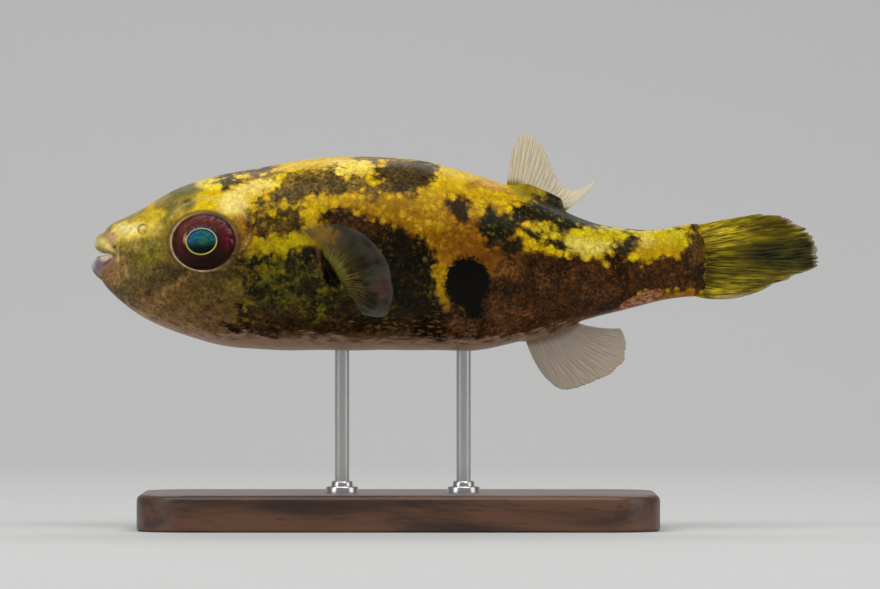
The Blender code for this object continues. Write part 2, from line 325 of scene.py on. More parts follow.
def relief(run, along, across, height):
    """How far the skin stands out from its plain ring, in millimetres."""
    far, turn = eye_polar(along, height)
    above = smoothstep(0.0, 0.8, np.sin(turn + 0.1))
    out = 0.16 * bump(far - 4.7, 0.5) * (0.45 + 0.55 * above)
    brow_line = brow_distance(far, turn)
    brow = band(turn, 1.1, 2.7, 0.25)
    out += (0.13 * bump(brow_line, 0.28) - 0.07 * bump(brow_line + 0.5, 0.25)) * brow
    cheek_fold = cheek_distance(far, turn)
    behind_eye = band(turn, -0.5, 0.85, 0.2)
    out += (0.13 * bump(cheek_fold, 0.24) - 0.11 * bump(cheek_fold - 0.5, 0.22)) * behind_eye
    corner = band(run, 1.9, 5.2, 0.5) * bump(height - 11.6, 1.9)
    corner = corner * smoothstep(0.7, 1.6, np.abs(across))
    out += 0.08 * np.sin(run * 8.5 + 1.4 * np.sin(height * 1.1)) * corner
    out -= 0.10 * bump(run - 1.75, 0.35) * band(run, 0.9, 2.6, 0.4)
    out -= 0.95 * gill_pit(along, height)
    out += 0.18 * bump(gill_distance(along, height) + 1.15, 0.6) * band(height, 7.6, 12.8, 0.9)
    lip = along - 26.75 - 0.12 * (height - 11.6) ** 2
    out -= 0.30 * bump(lip, 0.28) * band(height, 10.4, 12.9, 0.5)
    out += 0.14 * bump(lip + 0.75, 0.5) * band(height, 9.6, 13.2, 0.8)
    for start, rise in ((27.5, 4.6), (29.6, 3.9), (31.6, 4.4)):
        fold = height - rise - 0.55 * np.sin((along - start) * 1.1)
        out += 0.09 * bump(fold, 0.16) * band(along, start - 1.2, start + 1.6, 0.5)
    on_flank = np.abs(across) > 1.5
    nostril = np.hypot(along - NOSTRIL[0], height - NOSTRIL[1])
    out += (0.17 * bump(nostril, 0.42) - 0.10 * bump(nostril - 0.62, 0.16)) * on_flank
    hole = np.hypot(along - NOSTRIL_HOLE[0], height - NOSTRIL_HOLE[1])
    out -= 0.22 * bump(hole, 0.17) * on_flank
    beside = smoothstep(0.6, 1.8, np.abs(across))
    for mark in LIP_GROOVES:
        out -= 0.17 * groove(along, height, mark) * beside
    seam = height - 20.6 + 0.42 * (along - 51.3)
    out -= 0.12 * bump(seam, 0.16) * band(along, 51.2, 55.5, 0.5)
    root = smoothstep(DORSAL_ROOT[0] - 0.6, DORSAL_ROOT[0] + 3.0, along)
    root *= 1 - smoothstep(DORSAL_ROOT[1] - 0.9, DORSAL_ROOT[1] + 0.5, along)
    out += 1.25 * root * bump(across, 0.75) * (height > 12)
    root = band(along, *ANAL_ROOT, 0.8)
    out += 0.35 * root * bump(across, 0.7) * (height < 8)
    uneven = np.sin(along * 0.83 + 0.6 * np.sin(height * 0.7))
    uneven = uneven * np.sin(height * 0.61 + across * 0.2 + 1)
    return out + 0.035 * uneven * smoothstep(6, 14, run) * (1 - smoothstep(66, 74, run))


# %% [markdown]
# ## The skin's grid
# The skin could be sculpted, or lofted as here. Lofting keeps it exact, gives a clean unwrap
# for free and lets the rings be closest where the detail is. The grid stays just under two
# hundred thousand triangles, which is plenty once the finest wrinkles are left to the finish.

# %% Grid of the skin
AROUND = 272
run_line = np.concatenate(
    [
        np.linspace(-3.2, 6.0, 66, endpoint=False),
        np.linspace(6.0, 28.4, 136, endpoint=False),
        np.linspace(28.4, 76.5, 148),
    ]
)
ANGLES = -pi / 2 + 2 * pi * np.arange(AROUND) / AROUND
grid_run, grid_angle = np.meshgrid(run_line, ANGLES, indexing="ij")
grid_along, grid_across, grid_height = ring_points(grid_run, grid_angle)


def outward(along, across, height):
    """Unit directions out of a grid of rings."""
    points = np.stack([along, across, height], axis=-1)
    down_body = np.gradient(points, axis=0)
    round_body = np.roll(points, -1, axis=1) - np.roll(points, 1, axis=1)
    facing = np.cross(down_body, round_body)
    facing /= np.maximum(np.linalg.norm(facing, axis=-1, keepdims=True), 1e-9)
    return facing


facing = outward(grid_along, grid_across, grid_height)
middle_ring = len(run_line) // 2
if (facing[middle_ring, :, 1] * grid_across[middle_ring]).sum() < 0:
    facing = -facing
height_out = relief(grid_run, grid_along, grid_across, grid_height)
grid_points = np.stack([grid_along, grid_across, grid_height], axis=-1) + facing * height_out[..., None]
print("skin grid:", grid_points.shape[:2])

# %% [markdown]
# ## Lids round the eyes
# A square grid can't hold a crisp round lid. So a window is left out of the grid round each
# eye and filled with rings that start on the window's edge and grow round, step by step.
# The last rings are the lid's own section: up over a soft rim and down beside the eyeball.

# %% Eye windows
WINDOW_RUN = (9.0, 19.0)
WINDOW_ANGLE = (-20.0, 51.0)
RINGS_TO_LID = 10
LID_OUTER = 4.28
LID_WIDE = 1.04
LID_TALL = 0.89
LID_SECTION = (  # distance from the eye's axis, and lift off the eye's plane
    (4.28, 0.08), (4.19, 0.15), (4.11, 0.23), (4.03, 0.29), (3.95, 0.29), (3.87, 0.21),
    (3.82, 0.08), (3.80, -0.12), (3.78, -0.5), (3.70, -1.1),
)
first_ring = int(np.searchsorted(run_line, WINDOW_RUN[0]))
last_ring = int(np.searchsorted(run_line, WINDOW_RUN[1]))
low_angle, high_angle = [int(round((a + 90) / 360 * AROUND)) for a in WINDOW_ANGLE]
window = {1: (low_angle, high_angle), -1: (AROUND - high_angle, AROUND - low_angle)}


def window_edge(side):
    """The grid places round a window, as (ring, step round the body) pairs in order."""
    low, high = window[side]
    edge = [(i, low) for i in range(first_ring, last_ring)]
    edge += [(last_ring, j) for j in range(low, high)]
    edge += [(i, high) for i in range(last_ring, first_ring, -1)]
    edge += [(first_ring, j) for j in range(high, low, -1)]
    return edge


# %% [markdown]
# ## From window to lid
# Each ring keeps the window edge's own directions from the eye, so that no face is twisted.
# The rings first follow the body's natural surface with its relief, and then lean more and
# more on the eye's own plane, in which the lid is a clean oval.

# %% Lid rings
def eye_frame(side):
    """An eye's axis and its tailward and upward directions."""
    axis = eye_facing * np.array([1.0, side, 1.0])
    tailward = np.array([1.0, 0, 0]) - axis * axis[0]
    tailward /= np.linalg.norm(tailward)
    up = np.cross(tailward, axis)
    return axis, tailward, up * np.sign(up[2])


def lid_rings(side):
    """Rings of points, in millimetres, from a window's edge to the bottom of the lid."""
    edge = np.array([grid_points[i, j] for i, j in window_edge(side)])
    reach, turn = eye_polar(edge[:, 0], edge[:, 2])
    axis, tailward, up = eye_frame(side)
    mirror = np.array([1.0, side, 1.0])
    middle = eye_middle * mirror
    oval = LID_WIDE * np.cos(turn)[:, None] * tailward + LID_TALL * np.sin(turn)[:, None] * up
    rings = []
    for k in range(1, RINGS_TO_LID + 1):
        share = k / RINGS_TO_LID
        distance = reach + (LID_OUTER - reach) * share
        along = EYE_ALONG + distance * np.cos(turn) * (1 + (LID_WIDE - 1) * share)
        height = EYE_HEIGHT + distance * np.sin(turn) * (1 + (LID_TALL - 1) * share)
        across = flank(along, height)
        lift = relief(along, along, across, height)[:, None]
        natural = np.stack([along, across, height], -1) + flank_facing(along, height) * lift
        natural *= mirror
        flat = middle + distance[:, None] * oval + axis * LID_SECTION[0][1]
        weight = smoothstep(0.25, 1.0, share) ** 1.3
        rings.append(natural * (1 - weight) + flat * weight)
    for distance, lift in LID_SECTION[1:]:
        rings.append(middle + distance * oval + axis * lift)
    return rings


# %% [markdown]
# ## One closed skin
# The grid, the two windows' rings and four small caps, one inside the mouth, one in the tail
# and one behind each eye, make one closed mesh. Its unwrap is the grid itself, cut along
# the belly: along the body one way and round it the other.

# %% Build the skin's mesh
def uv_place(i, j):
    return np.array([run_share[i], j / AROUND])


run_share = (run_line - run_line[0]) / (run_line[-1] - run_line[0])
vertices = list(grid_points.reshape(-1, 3))
unwrap = [uv_place(i, j) for i in range(len(run_line)) for j in range(AROUND)]
faces = []
holes = [(first_ring, last_ring, *window[side]) for side in window]
for i in range(len(run_line) - 1):
    for j in range(AROUND):
        if not any(a <= i < b and c <= j < d for a, b, c, d in holes):
            n = (j + 1) % AROUND
            faces.append((i * AROUND + j, (i + 1) * AROUND + j, (i + 1) * AROUND + n, i * AROUND + n))
for side in window:
    edge = window_edge(side)
    corners = np.array([uv_place(i, j) for i, j in edge])
    centre = corners.mean(axis=0)
    rings = lid_rings(side)
    before = [i * AROUND + j for i, j in edge]
    for k, ring in enumerate(rings):
        start = len(vertices)
        vertices.extend(ring)
        unwrap.extend(centre + (corners - centre) * (1 - (k + 1) / (len(rings) + 1)))
        now = list(range(start, start + len(ring)))
        for a in range(len(edge)):
            b = (a + 1) % len(edge)
            faces.append((before[a], before[b], now[b], now[a]))
        before = now
    vertices.append(rings[-1].mean(axis=0))
    unwrap.append(centre)
    for a in range(len(edge)):
        faces.append((before[a], before[(a + 1) % len(edge)], len(vertices) - 1))
for ring in (0, len(run_line) - 1):
    vertices.append(grid_points[ring].mean(axis=0))
    unwrap.append(np.array([run_share[ring], 0.5]))
    for j in range(AROUND):
        faces.append((ring * AROUND + j, ring * AROUND + (j + 1) % AROUND, len(vertices) - 1))
vertices = np.array(vertices)
unwrap = np.array(unwrap)
print("skin gathered:", len(vertices), "points")

# %% [markdown]
# ## From points to a piece
# Every part of the fish becomes a mesh in the same way: points in the fish's millimetres go
# to metres, the faces are turned outward, and the solids of the construction model that the
# piece stands in for are hidden.

# %% A piece of the fish
def new_piece(name, points, faces, material, node_names, body="root"):
    """A smooth mesh object from millimetre points, riding on the body for some nodes."""
    mesh = bpy.data.meshes.new(name)
    mesh.from_pydata(to_world(points[:, 0], points[:, 1], points[:, 2]).tolist(), [], faces)
    bm = bmesh.new()
    bm.from_mesh(mesh)
    bmesh.ops.recalc_face_normals(bm, faces=bm.faces)
    bm.to_mesh(mesh)
    bm.free()
    mesh.shade_smooth()
    mesh.materials.append(material)
    piece = bpy.data.objects.new(name, mesh)
    bpy.context.collection.objects.link(piece)
    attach(piece, body)
    if node_names:
        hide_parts(*node_names)
    return piece


def write_unwrap(mesh, places):
    """The unwrap as a UV map, with the seam's far edge kept at 1 and not folded back to 0."""
    layer = mesh.uv_layers.new(name="OFBake")
    corner = np.zeros(len(mesh.loops), int)
    mesh.loops.foreach_get("vertex_index", corner)
    uv = places[corner].copy()
    sizes = np.zeros(len(mesh.polygons), int)
    mesh.polygons.foreach_get("loop_total", sizes)
    face_of = np.repeat(np.arange(len(sizes)), sizes)
    highest = np.zeros(len(sizes))
    np.maximum.at(highest, face_of, uv[:, 1])
    wraps = (highest[face_of] > 0.75) & (uv[:, 1] < 0.25)
    uv[wraps, 1] += 1.0
    layer.data.foreach_set("uv", uv.astype(np.float32).ravel())


def new_look(name):
    """An empty material with a node tree."""
    look = bpy.data.materials.new(name)
    look.use_nodes = True
    return look


skin_look = new_look("wet skin")
flesh_nodes = ["head", "trunk", "tail_stem", "upper_lip", "lower_lip"]
skin = new_piece("skin", vertices, faces, skin_look, flesh_nodes)
write_unwrap(skin.data, unwrap)
print("skin:", len(skin.data.vertices), "points,", sum(len(f) - 2 for f in faces), "triangles")

# %% [markdown]
# ## Where the markings lie
# A maker paints such a fish in layers: first the light ground colours, laid in soft patches,
# then the dark blotches, and last the fine dots. The same order is kept here. A mark is a
# tilted ellipse in side view, measured in millimetres, and a value that is positive inside.
# The marks give broad fields on the skin's points; the finish then breaks their borders up.

# %% Marks
def inside(along, height, mark):
    """About how far inside a tilted ellipse a place is, in millimetres (negative outside)."""
    at_along, at_height, reach_along, reach_height, tilt = mark
    dx, dy = along - at_along, height - at_height
    turn = radians(tilt)
    u = (dx * cos(turn) + dy * sin(turn)) / reach_along
    v = (dy * cos(turn) - dx * sin(turn)) / reach_height
    near = np.sqrt(u * u + v * v)
    slope = np.sqrt((u / reach_along) ** 2 + (v / reach_height) ** 2)
    deepest = min(reach_along, reach_height)
    return np.where(near > 1e-4, near * (1 - near) / np.maximum(slope, 1e-6), deepest)


def smooth_max(a, b, soft=0.5):
    share = np.clip(0.5 + 0.5 * (a - b) / soft, 0, 1)
    return b + (a - b) * share + soft * share * (1 - share)


def union(along, height, marks):
    field = np.full_like(along, -9.0)
    for mark in marks:
        field = smooth_max(field, inside(along, height, mark))
    return field


# %% [markdown]
# ## Colours and chance
# Colours are written as a painter would read them off a chart, and turned into linear light.
# A stroke lays a colour over a field with a soft edge, and a wash lays one by a given cover.
# A cloud is smooth chance in space: it moves borders about so that no two are alike.

# %% Colours, strokes and clouds
def rgb(red, green, blue):
    """A colour given as 0-255 screen values, as linear light."""
    value = np.array([red, green, blue]) / 255
    return np.where(value < 0.04045, value / 12.92, ((value + 0.055) / 1.055) ** 2.4)


def paint(field, along, height, strokes):
    """Lay soft strokes over a colour field: mark, colour, strength and softness in mm."""
    for mark, colour, strength, soft in strokes:
        cover = strength * smoothstep(-soft, soft, inside(along, height, mark))[:, None]
        field[:] = field * (1 - cover) + colour * cover


def wash(field, cover, colour):
    """A colour field with one colour laid over it, by a cover from 0 to 1 at each point."""
    cover = cover[:, None]
    return field * (1 - cover) + colour * cover


def cloud(points, size, seed):
    """Smooth random values from -1 to 1 that change over about the size, in millimetres."""
    lattice = np.random.default_rng(seed).uniform(-1, 1, (32, 32, 32))
    spot = points / size + 200
    low = np.floor(spot).astype(int)
    t = spot - low
    t = t * t * (3 - 2 * t)
    total = np.zeros(len(points))
    for corner in range(8):
        step = np.array([corner & 1, corner >> 1 & 1, corner >> 2 & 1])
        weight = np.prod(np.where(step, t, 1 - t), axis=1)
        i, j, k = ((low + step) % 32).T
        total += weight * lattice[i, j, k]
    return total


# %% [markdown]
# ## Two flanks that match but don't mirror
# No fish carries the same marks on both sides. Only the left flank was ever measured, so the
# right one uses the same marks pushed about by a slow wave that grows away from the back's
# middle line, and it leaves the head round the eye alone. Where the marks cross the back
# they meet without a seam. A little random drift keeps every border from being an ellipse.

# %% Places for the marks
mark_along = vertices[:, 0].copy()
mark_height = vertices[:, 2].copy()
mark_across = vertices[:, 1]
away = smoothstep(0.0, 5.0, mark_across) * (1 - bump(eye_polar(mark_along, mark_height)[0], 8.0))
away *= smoothstep(3, 12, mark_along) * (1 - smoothstep(66, 74, mark_along))
mark_along = mark_along + (1.3 + 1.1 * np.sin(mark_height * 0.33 + 1.0)) * away
mark_height = mark_height + 0.8 * np.sin(vertices[:, 0] * 0.29 + 0.5) * away
true_along, true_height = mark_along, mark_height
mark_along = true_along + 0.45 * cloud(vertices, 1.9, 1) + 0.2 * cloud(vertices, 0.8, 2)
mark_height = true_height + 0.40 * cloud(vertices, 1.9, 3) + 0.2 * cloud(vertices, 0.8, 4)

# %% [markdown]
# ## Ground colours
# Yellow on the back, golden on the upper flank, lemon behind the upright fin, olive and tan
# on the face, brown on the rear flank and a fleshy grey along the belly.

# %% Paint the ground
YELLOW = rgb(232, 191, 6)
LEMON = rgb(222, 200, 10)
GOLD = rgb(182, 136, 12)
ORANGE = rgb(156, 96, 18)
TAN = rgb(112, 84, 40)
MOSS = rgb(108, 98, 14)

# Height of the belly's upper edge along the body, in millimetres
belly_knots = [0, 5, 9, 14, 22, 44, 50, 58, 66, 78]
belly_line = np.interp(true_along, belly_knots, [7.0, 5.4, 3.6, 2.3, 1.9, 1.3, 1.6, 2.9, 4.2, 4.6])
belly = belly_line - true_height
ground = np.tile(YELLOW, (len(vertices), 1))
low = smoothstep(-3.2, -1.4, belly) * (1 - smoothstep(68, 71, true_along))
ground = wash(ground, low, rgb(104, 80, 48))
print("belly line between", round(belly_line.min(), 2), "and", round(belly_line.max(), 2), "mm high")

# %% [markdown]
# ## Soft strokes over body and head
# Each stroke is one loaded brush: a tilted ellipse, a colour, its strength and how softly it
# ends. Broad strokes come first and the small bright ones last, as a painter works.

# %% Strokes over body and head
ground_strokes = [
    ((38, 14.2, 14, 4.4, -6), GOLD, 0.75, 1.6),  # golden upper flank
    ((24, 16.4, 7, 2.6, 10), rgb(196, 158, 14), 0.7, 1.4),
    ((28.4, 17.6, 2.8, 0.9, 8), rgb(220, 182, 14), 0.9, 0.5),
    ((47.5, 12.8, 5.0, 3.4, 0), ORANGE, 0.8, 1.6),  # rust above the eye spot
    ((51, 9.5, 4.4, 3.4, 0), rgb(118, 68, 18), 0.9, 1.2),
    ((44.5, 19.9, 7, 2.4, -14), YELLOW, 0.9, 1.0),
    ((66, 14.2, 12, 3.2, 0), LEMON, 1.0, 1.5),
    ((69.5, 12.4, 5.0, 1.0, -4), rgb(206, 160, 12), 0.7, 0.9),
    # A painted highlight on the lemon band.
    ((61.0, 12.9, 3.0, 0.9, -8), rgb(242, 224, 100), 0.85, 0.6),
    ((22.2, 20.9, 1.3, 0.6, 10), rgb(255, 226, 72), 0.8, 0.5),
    ((26.9, 14.3, 1.3, 0.8, 0), rgb(104, 86, 44), 0.75, 0.6),
    ((65.5, 5.0, 8.0, 0.7, 12), rgb(146, 98, 66), 0.6, 0.6),
    ((31.5, 22.4, 3.2, 0.9, 4), rgb(255, 226, 96), 0.9, 0.5),
    ((43.8, 16.8, 1.0, 2.0, 0), rgb(206, 160, 30), 0.8, 0.5),
    # A painted highlight on the rear lemon band.
    ((68.3, 13.8, 1.2, 0.9, 0), rgb(248, 226, 96), 0.8, 0.5),
    ((76.3, 11, 1.2, 6, 0), rgb(120, 98, 18), 0.9, 0.6),
    ((75.9, 11.3, 0.25, 2.6, 0), rgb(132, 92, 58), 0.7, 0.2),
    ((72.4, 7.0, 2.8, 1.0, 4), rgb(176, 118, 8), 0.9, 0.6),
    ((31, 4.5, 20, 4.0, 0), rgb(116, 92, 34), 0.95, 1.2),  # olive lower flank
    ((48, 3.6, 9, 3.2, 0), rgb(108, 72, 40), 0.9, 1.2),
    ((30, 1.5, 26, 1.1, 0), rgb(98, 74, 50), 0.95, 0.6),
    ((43.3, 8.6, 0.9, 3.3, 6), rgb(182, 140, 10), 1.0, 0.5),  # yellow edge of the eye spot
    ((25, 8.8, 7.5, 4.4, 0), MOSS, 0.95, 1.2),
    ((24.3, 13.6, 2.6, 1.5, 0), rgb(188, 165, 12), 0.95, 0.7),
    ((20.8, 12.6, 1.1, 1.7, 0), rgb(182, 158, 10), 0.95, 0.4),
    ((12.3, 7.3, 7.4, 5.2, 0), TAN, 0.97, 1.6),  # cheek
    ((6.4, 6.0, 7.5, 3.4, -38), rgb(138, 100, 60), 0.9, 0.8),
    ((14, 10, 6.6, 4.0, 0), rgb(92, 70, 32), 0.8, 1.6),
    ((18.9, 13.3, 1.2, 2.6, -10), rgb(140, 98, 20), 0.95, 0.6),
    ((17.4, 9.3, 1.7, 1.0, -24), rgb(62, 50, 22), 0.9, 0.5),
    ((15.6, 5.2, 2.0, 1.3, 0), rgb(92, 62, 32), 0.7, 0.8),
    ((18.7, 15.6, 1.2, 1.3, 0), rgb(170, 116, 24), 0.85, 0.6),
    ((5.8, 8.4, 3.4, 3.8, 0), rgb(106, 86, 48), 0.95, 1.2),
    ((8.4, 6.0, 2.8, 1.5, -30), rgb(148, 110, 68), 0.85, 0.8),
    ((5.4, 12.0, 4.4, 1.8, 0), rgb(122, 106, 36), 0.95, 0.8),
    ((7.9, 11.5, 0.8, 0.6, 0), rgb(136, 132, 14), 0.9, 0.4),
    ((8.6, 14.6, 3.0, 3.0, 20), rgb(134, 118, 38), 0.95, 1.2),
    ((11.0, 9.6, 1.1, 0.8, 30), rgb(58, 44, 26), 0.85, 0.6),
    ((13.2, 4.2, 4.4, 1.2, -12), rgb(132, 96, 64), 0.75, 0.9),
    ((4.4, 13.1, 1.9, 0.9, 0), rgb(172, 144, 66), 0.9, 0.6),
    ((7.4, 14.9, 1.9, 1.2, 10), rgb(206, 174, 66), 0.95, 0.6),
    ((4.9, 14.8, 2.9, 1.2, 18), rgb(244, 212, 82), 1.0, 0.6),  # bright snout
    # A painted highlight on the snout.
    ((4.8, 15.1, 1.8, 0.75, 20), rgb(255, 240, 150), 0.9, 0.5),
    ((8.0, 16.7, 1.2, 0.9, 30), rgb(220, 188, 40), 0.95, 0.4),
    ((4.2, 16.4, 3.4, 0.45, 26), rgb(140, 130, 84), 0.8, 0.4),
    ((11.4, 19.6, 3.4, 0.95, 26), rgb(110, 107, 56), 0.97, 0.5),  # olive crown
    ((9.9, 17.6, 1.1, 0.8, 20), rgb(116, 104, 50), 0.9, 0.5),
    ((9.3, 18.6, 1.0, 0.5, 26), rgb(170, 150, 80), 0.8, 0.4),
    ((14.9, 18.1, 1.9, 0.8, 6), rgb(238, 200, 8), 1.0, 0.5),
    # A painted highlight above and behind the eye.
    ((17.7, 18.1, 1.6, 1.4, -20), rgb(250, 226, 124), 0.95, 0.7),
    ((13.9, 20.9, 1.2, 0.8, 20), rgb(236, 212, 66), 1.0, 0.4),
    ((15.2, 20.6, 1.3, 0.8, 10), rgb(250, 222, 54), 0.95, 0.4),
    ((12.0, 18.0, 1.3, 0.75, 20), rgb(140, 116, 62), 0.85, 0.4),
    ((12.1, 18.15, 0.6, 0.4, 20), rgb(60, 50, 22), 0.9, 0.3),
    ((20.2, 20.3, 2.4, 1.1, 20), rgb(252, 224, 112), 0.95, 0.7),
    ((19.4, 16.6, 0.6, 0.9, 0), rgb(176, 136, 52), 0.8, 0.4),
    ((11.2, 6.9, 2.6, 0.9, 39), rgb(112, 80, 44), 0.5, 0.6),
    ((8.0, 8.3, 2.6, 0.9, 39), rgb(74, 58, 36), 0.75, 0.7),
    ((10.4, 7.75, 2.7, 0.25, 39), rgb(158, 120, 70), 0.85, 0.3),
    ((49.5, 20.2, 2.6, 0.5, -14), rgb(190, 120, 20), 0.6, 0.5),
    ((46.8, 20.4, 1.0, 0.5, 0), rgb(186, 110, 20), 0.6, 0.5),
    ((54.4, 19.9, 2.8, 1.3, -16), rgb(166, 145, 10), 1.0, 0.5),  # mossy foot of the dorsal fin
    ((19.5, 5.5, 0.9, 0.5, 30), rgb(146, 130, 36), 0.9, 0.4),
    ((17.4, 7.3, 0.5, 1.2, 20), rgb(122, 106, 34), 0.8, 0.4),
    ((18.3, 8.4, 0.6, 0.5, 0), rgb(116, 102, 22), 0.8, 0.4),
]
paint(ground, mark_along, mark_height, ground_strokes)
print(len(ground_strokes), "strokes laid")

# %% [markdown]
# ## Lips and the mouth's corner
# The lips are too small for borders that wander, so their strokes keep to the true places:
# a straw-coloured upper lip with a painted highlight on its front edge and painted shade under
# and behind it, a violet-grey lower lip with a pale edge that is a painted highlight, painted
# shade in the groove at the mouth's corner, and the pink skin and the fine wrinkles behind the
# mouth's corner, drawn as lines of painted highlight and painted shade.

# %% Strokes on the lips
lip_strokes = [
    ((3.4, 10.2, 1.6, 2.2, 10), rgb(156, 122, 70), 0.9, 0.6),
    ((1.3, 13.4, 1.5, 1.15, 10), rgb(196, 176, 92), 1.0, 0.3),  # upper lip
    # Painted highlight on the upper lip's front edge.
    ((0.5, 13.5, 0.4, 0.9, 10), rgb(220, 208, 156), 0.8, 0.25),
    ((2.0, 13.0, 1.4, 0.32, -37), rgb(228, 208, 128), 0.85, 0.2),
    # Painted shade under the upper lip, and behind it on top.
    ((1.3, 12.5, 0.9, 0.25, -25), rgb(160, 140, 62), 0.8, 0.15),
    ((1.95, 14.75, 0.9, 0.45, 35), rgb(150, 130, 96), 0.8, 0.3),
    ((2.7, 13.95, 0.75, 0.7, 20), rgb(206, 164, 118), 0.85, 0.25),  # pink skin over the lip
    ((0.9, 10.6, 1.5, 1.3, -10), rgb(152, 136, 134), 1.0, 0.3),  # lower lip
    # The lower lip's pale edge is a painted highlight.
    ((0.1, 10.9, 0.55, 1.05, -24), rgb(222, 220, 226), 0.85, 0.3),
    ((1.0, 10.6, 0.5, 0.6, 20), rgb(130, 108, 126), 0.7, 0.3),
    ((2.0, 11.55, 0.8, 0.5, 0), rgb(230, 200, 178), 0.95, 0.2),
    ((2.5, 10.42, 1.4, 0.62, 41), rgb(160, 120, 86), 1.0, 0.16),
    # Painted shade in the groove at the mouth's corner.
    ((2.1, 10.95, 0.75, 0.14, 41), rgb(78, 54, 38), 0.75, 0.16),
    ((2.9, 9.3, 1.0, 0.7, -45), rgb(170, 122, 88), 0.8, 0.4),
    ((3.02, 12.84, 0.2, 0.17, 0), rgb(74, 50, 26), 0.9, 0.12),
    # The wrinkles behind the mouth's corner: light lines of painted highlight and dark lines of painted
    # shade.
    ((3.45, 11.9, 0.2, 1.0, 6), rgb(206, 176, 112), 0.8, 0.15),
    ((3.85, 11.7, 0.16, 1.3, 8), rgb(112, 86, 44), 0.7, 0.15),
    ((4.3, 10.6, 0.2, 1.4, 12), rgb(176, 140, 76), 0.7, 0.2),
    ((4.75, 10.8, 0.16, 1.2, 12), rgb(96, 72, 36), 0.5, 0.2),
]
paint(ground, true_along, true_height, lip_strokes)
print(len(lip_strokes), "strokes on the lips")

# %% [markdown]
# ## Round the eye and at the nostril
# A thin pale line on the lid's rim is a painted highlight where the lid faces forward and turns
# to painted shade where it faces back. Painted shade lies round the lid, weaker behind it, with a
# ring of painted shade just outside the rim behind and above the eye, and a thin line of painted
# shade in the crease round it. The lid's inner wall is painted iris-maroon, lighter than the iris,
# to make up for the shade it lies in. The brow gets a line of painted highlight, the cheek fold a
# line of painted highlight with painted shade beside it, and the nostril painted shade in its
# groove and its hole, so they read as folds even in flat light.

# %% Colours of the folds
far, turn = eye_polar(true_along, true_height)
oval = np.hypot((true_along - EYE_ALONG) / LID_WIDE, (true_height - EYE_HEIGHT) / LID_TALL)
# Painted shade round the outside of the lid, half as strong behind the eye.
less_shade_behind = 1 - 0.5 * smoothstep(0.3, 0.9, np.cos(turn + 0.4))
ground = wash(ground, 0.75 * smoothstep(4.7, 4.3, oval) * less_shade_behind, rgb(104, 78, 44))
# The lid's rim: a thin pale line, made lighter on its front and lower side as a painted highlight and
# darker on its back side as painted shade.
rim_lit_side = smoothstep(0.75, -0.75, np.cos(turn - 0.7))
rim_highlight_and_shade = (0.25 + 0.75 * rim_lit_side) * bump(oval - 3.98, 0.12)
rim_highlight_and_shade_colour = rgb(206, 172, 140) * (0.30 + 0.9 * rim_lit_side)[:, None]
ground = wash(ground, rim_highlight_and_shade, rim_highlight_and_shade_colour)
# A ring of painted shade just outside the rim, behind and above the eye.
lid_shade_behind = smoothstep(0.1, 0.8, np.cos(turn - 0.6))
ground = wash(ground, 0.7 * bump(oval - 4.06, 0.2) * lid_shade_behind, rgb(78, 58, 48))
# The lid's inner wall is painted iris-maroon, lighter than the iris to make up for the shade it lies in:
# painted light.
ground = wash(ground, smoothstep(3.90, 3.82, oval), rgb(112, 56, 38))
# A line of painted highlight along the brow's fold.
brow = bump(brow_distance(far, turn), 0.14) * band(turn, 1.2, 2.6, 0.2)
ground = wash(ground, 0.7 * brow, rgb(206, 196, 120))
cheek_fold = cheek_distance(far, turn)
fold_at = band(turn, -0.4, 0.8, 0.15)
# A line of painted highlight on the cheek fold, and painted shade just outside it.
ground = wash(ground, 0.55 * bump(cheek_fold, 0.13) * fold_at, rgb(216, 170, 110))
ground = wash(ground, 0.5 * bump(cheek_fold - 0.4, 0.2) * fold_at, rgb(92, 62, 20))
# Painted shade in the groove round the nostril, stronger on its upper front side, and in its hole.
to_nostril = true_along - NOSTRIL[0], true_height - (NOSTRIL[1] + 0.03)
open_side = np.cos(np.arctan2(to_nostril[1], to_nostril[0]) - radians(140))
ring = (0.35 + 0.55 * smoothstep(-0.5, 0.6, open_side)) * bump(np.hypot(*to_nostril) - 0.58, 0.13)
ground = wash(ground, ring, rgb(84, 64, 22))
to_hole = np.hypot(true_along - NOSTRIL_HOLE[0], true_height - NOSTRIL_HOLE[1])
ground = wash(ground, 0.9 * bump(to_hole, 0.17), rgb(70, 50, 26))
# A thin line of painted shade in the crease round the lid.
ground = wash(ground, 0.35 * bump(oval - 4.3, 0.12), rgb(58, 42, 22))
print("folds coloured round the eye at", round(EYE_ALONG, 2), round(EYE_HEIGHT, 2))

# %% [markdown]
# ## Dark blotches
# The saddles over the back are olive-brown. Behind the oars a near-black blotch fills the
# middle of the flank, and the rear flank is one brown field under the lemon yellow. Small
# light windows are cut back out of them.

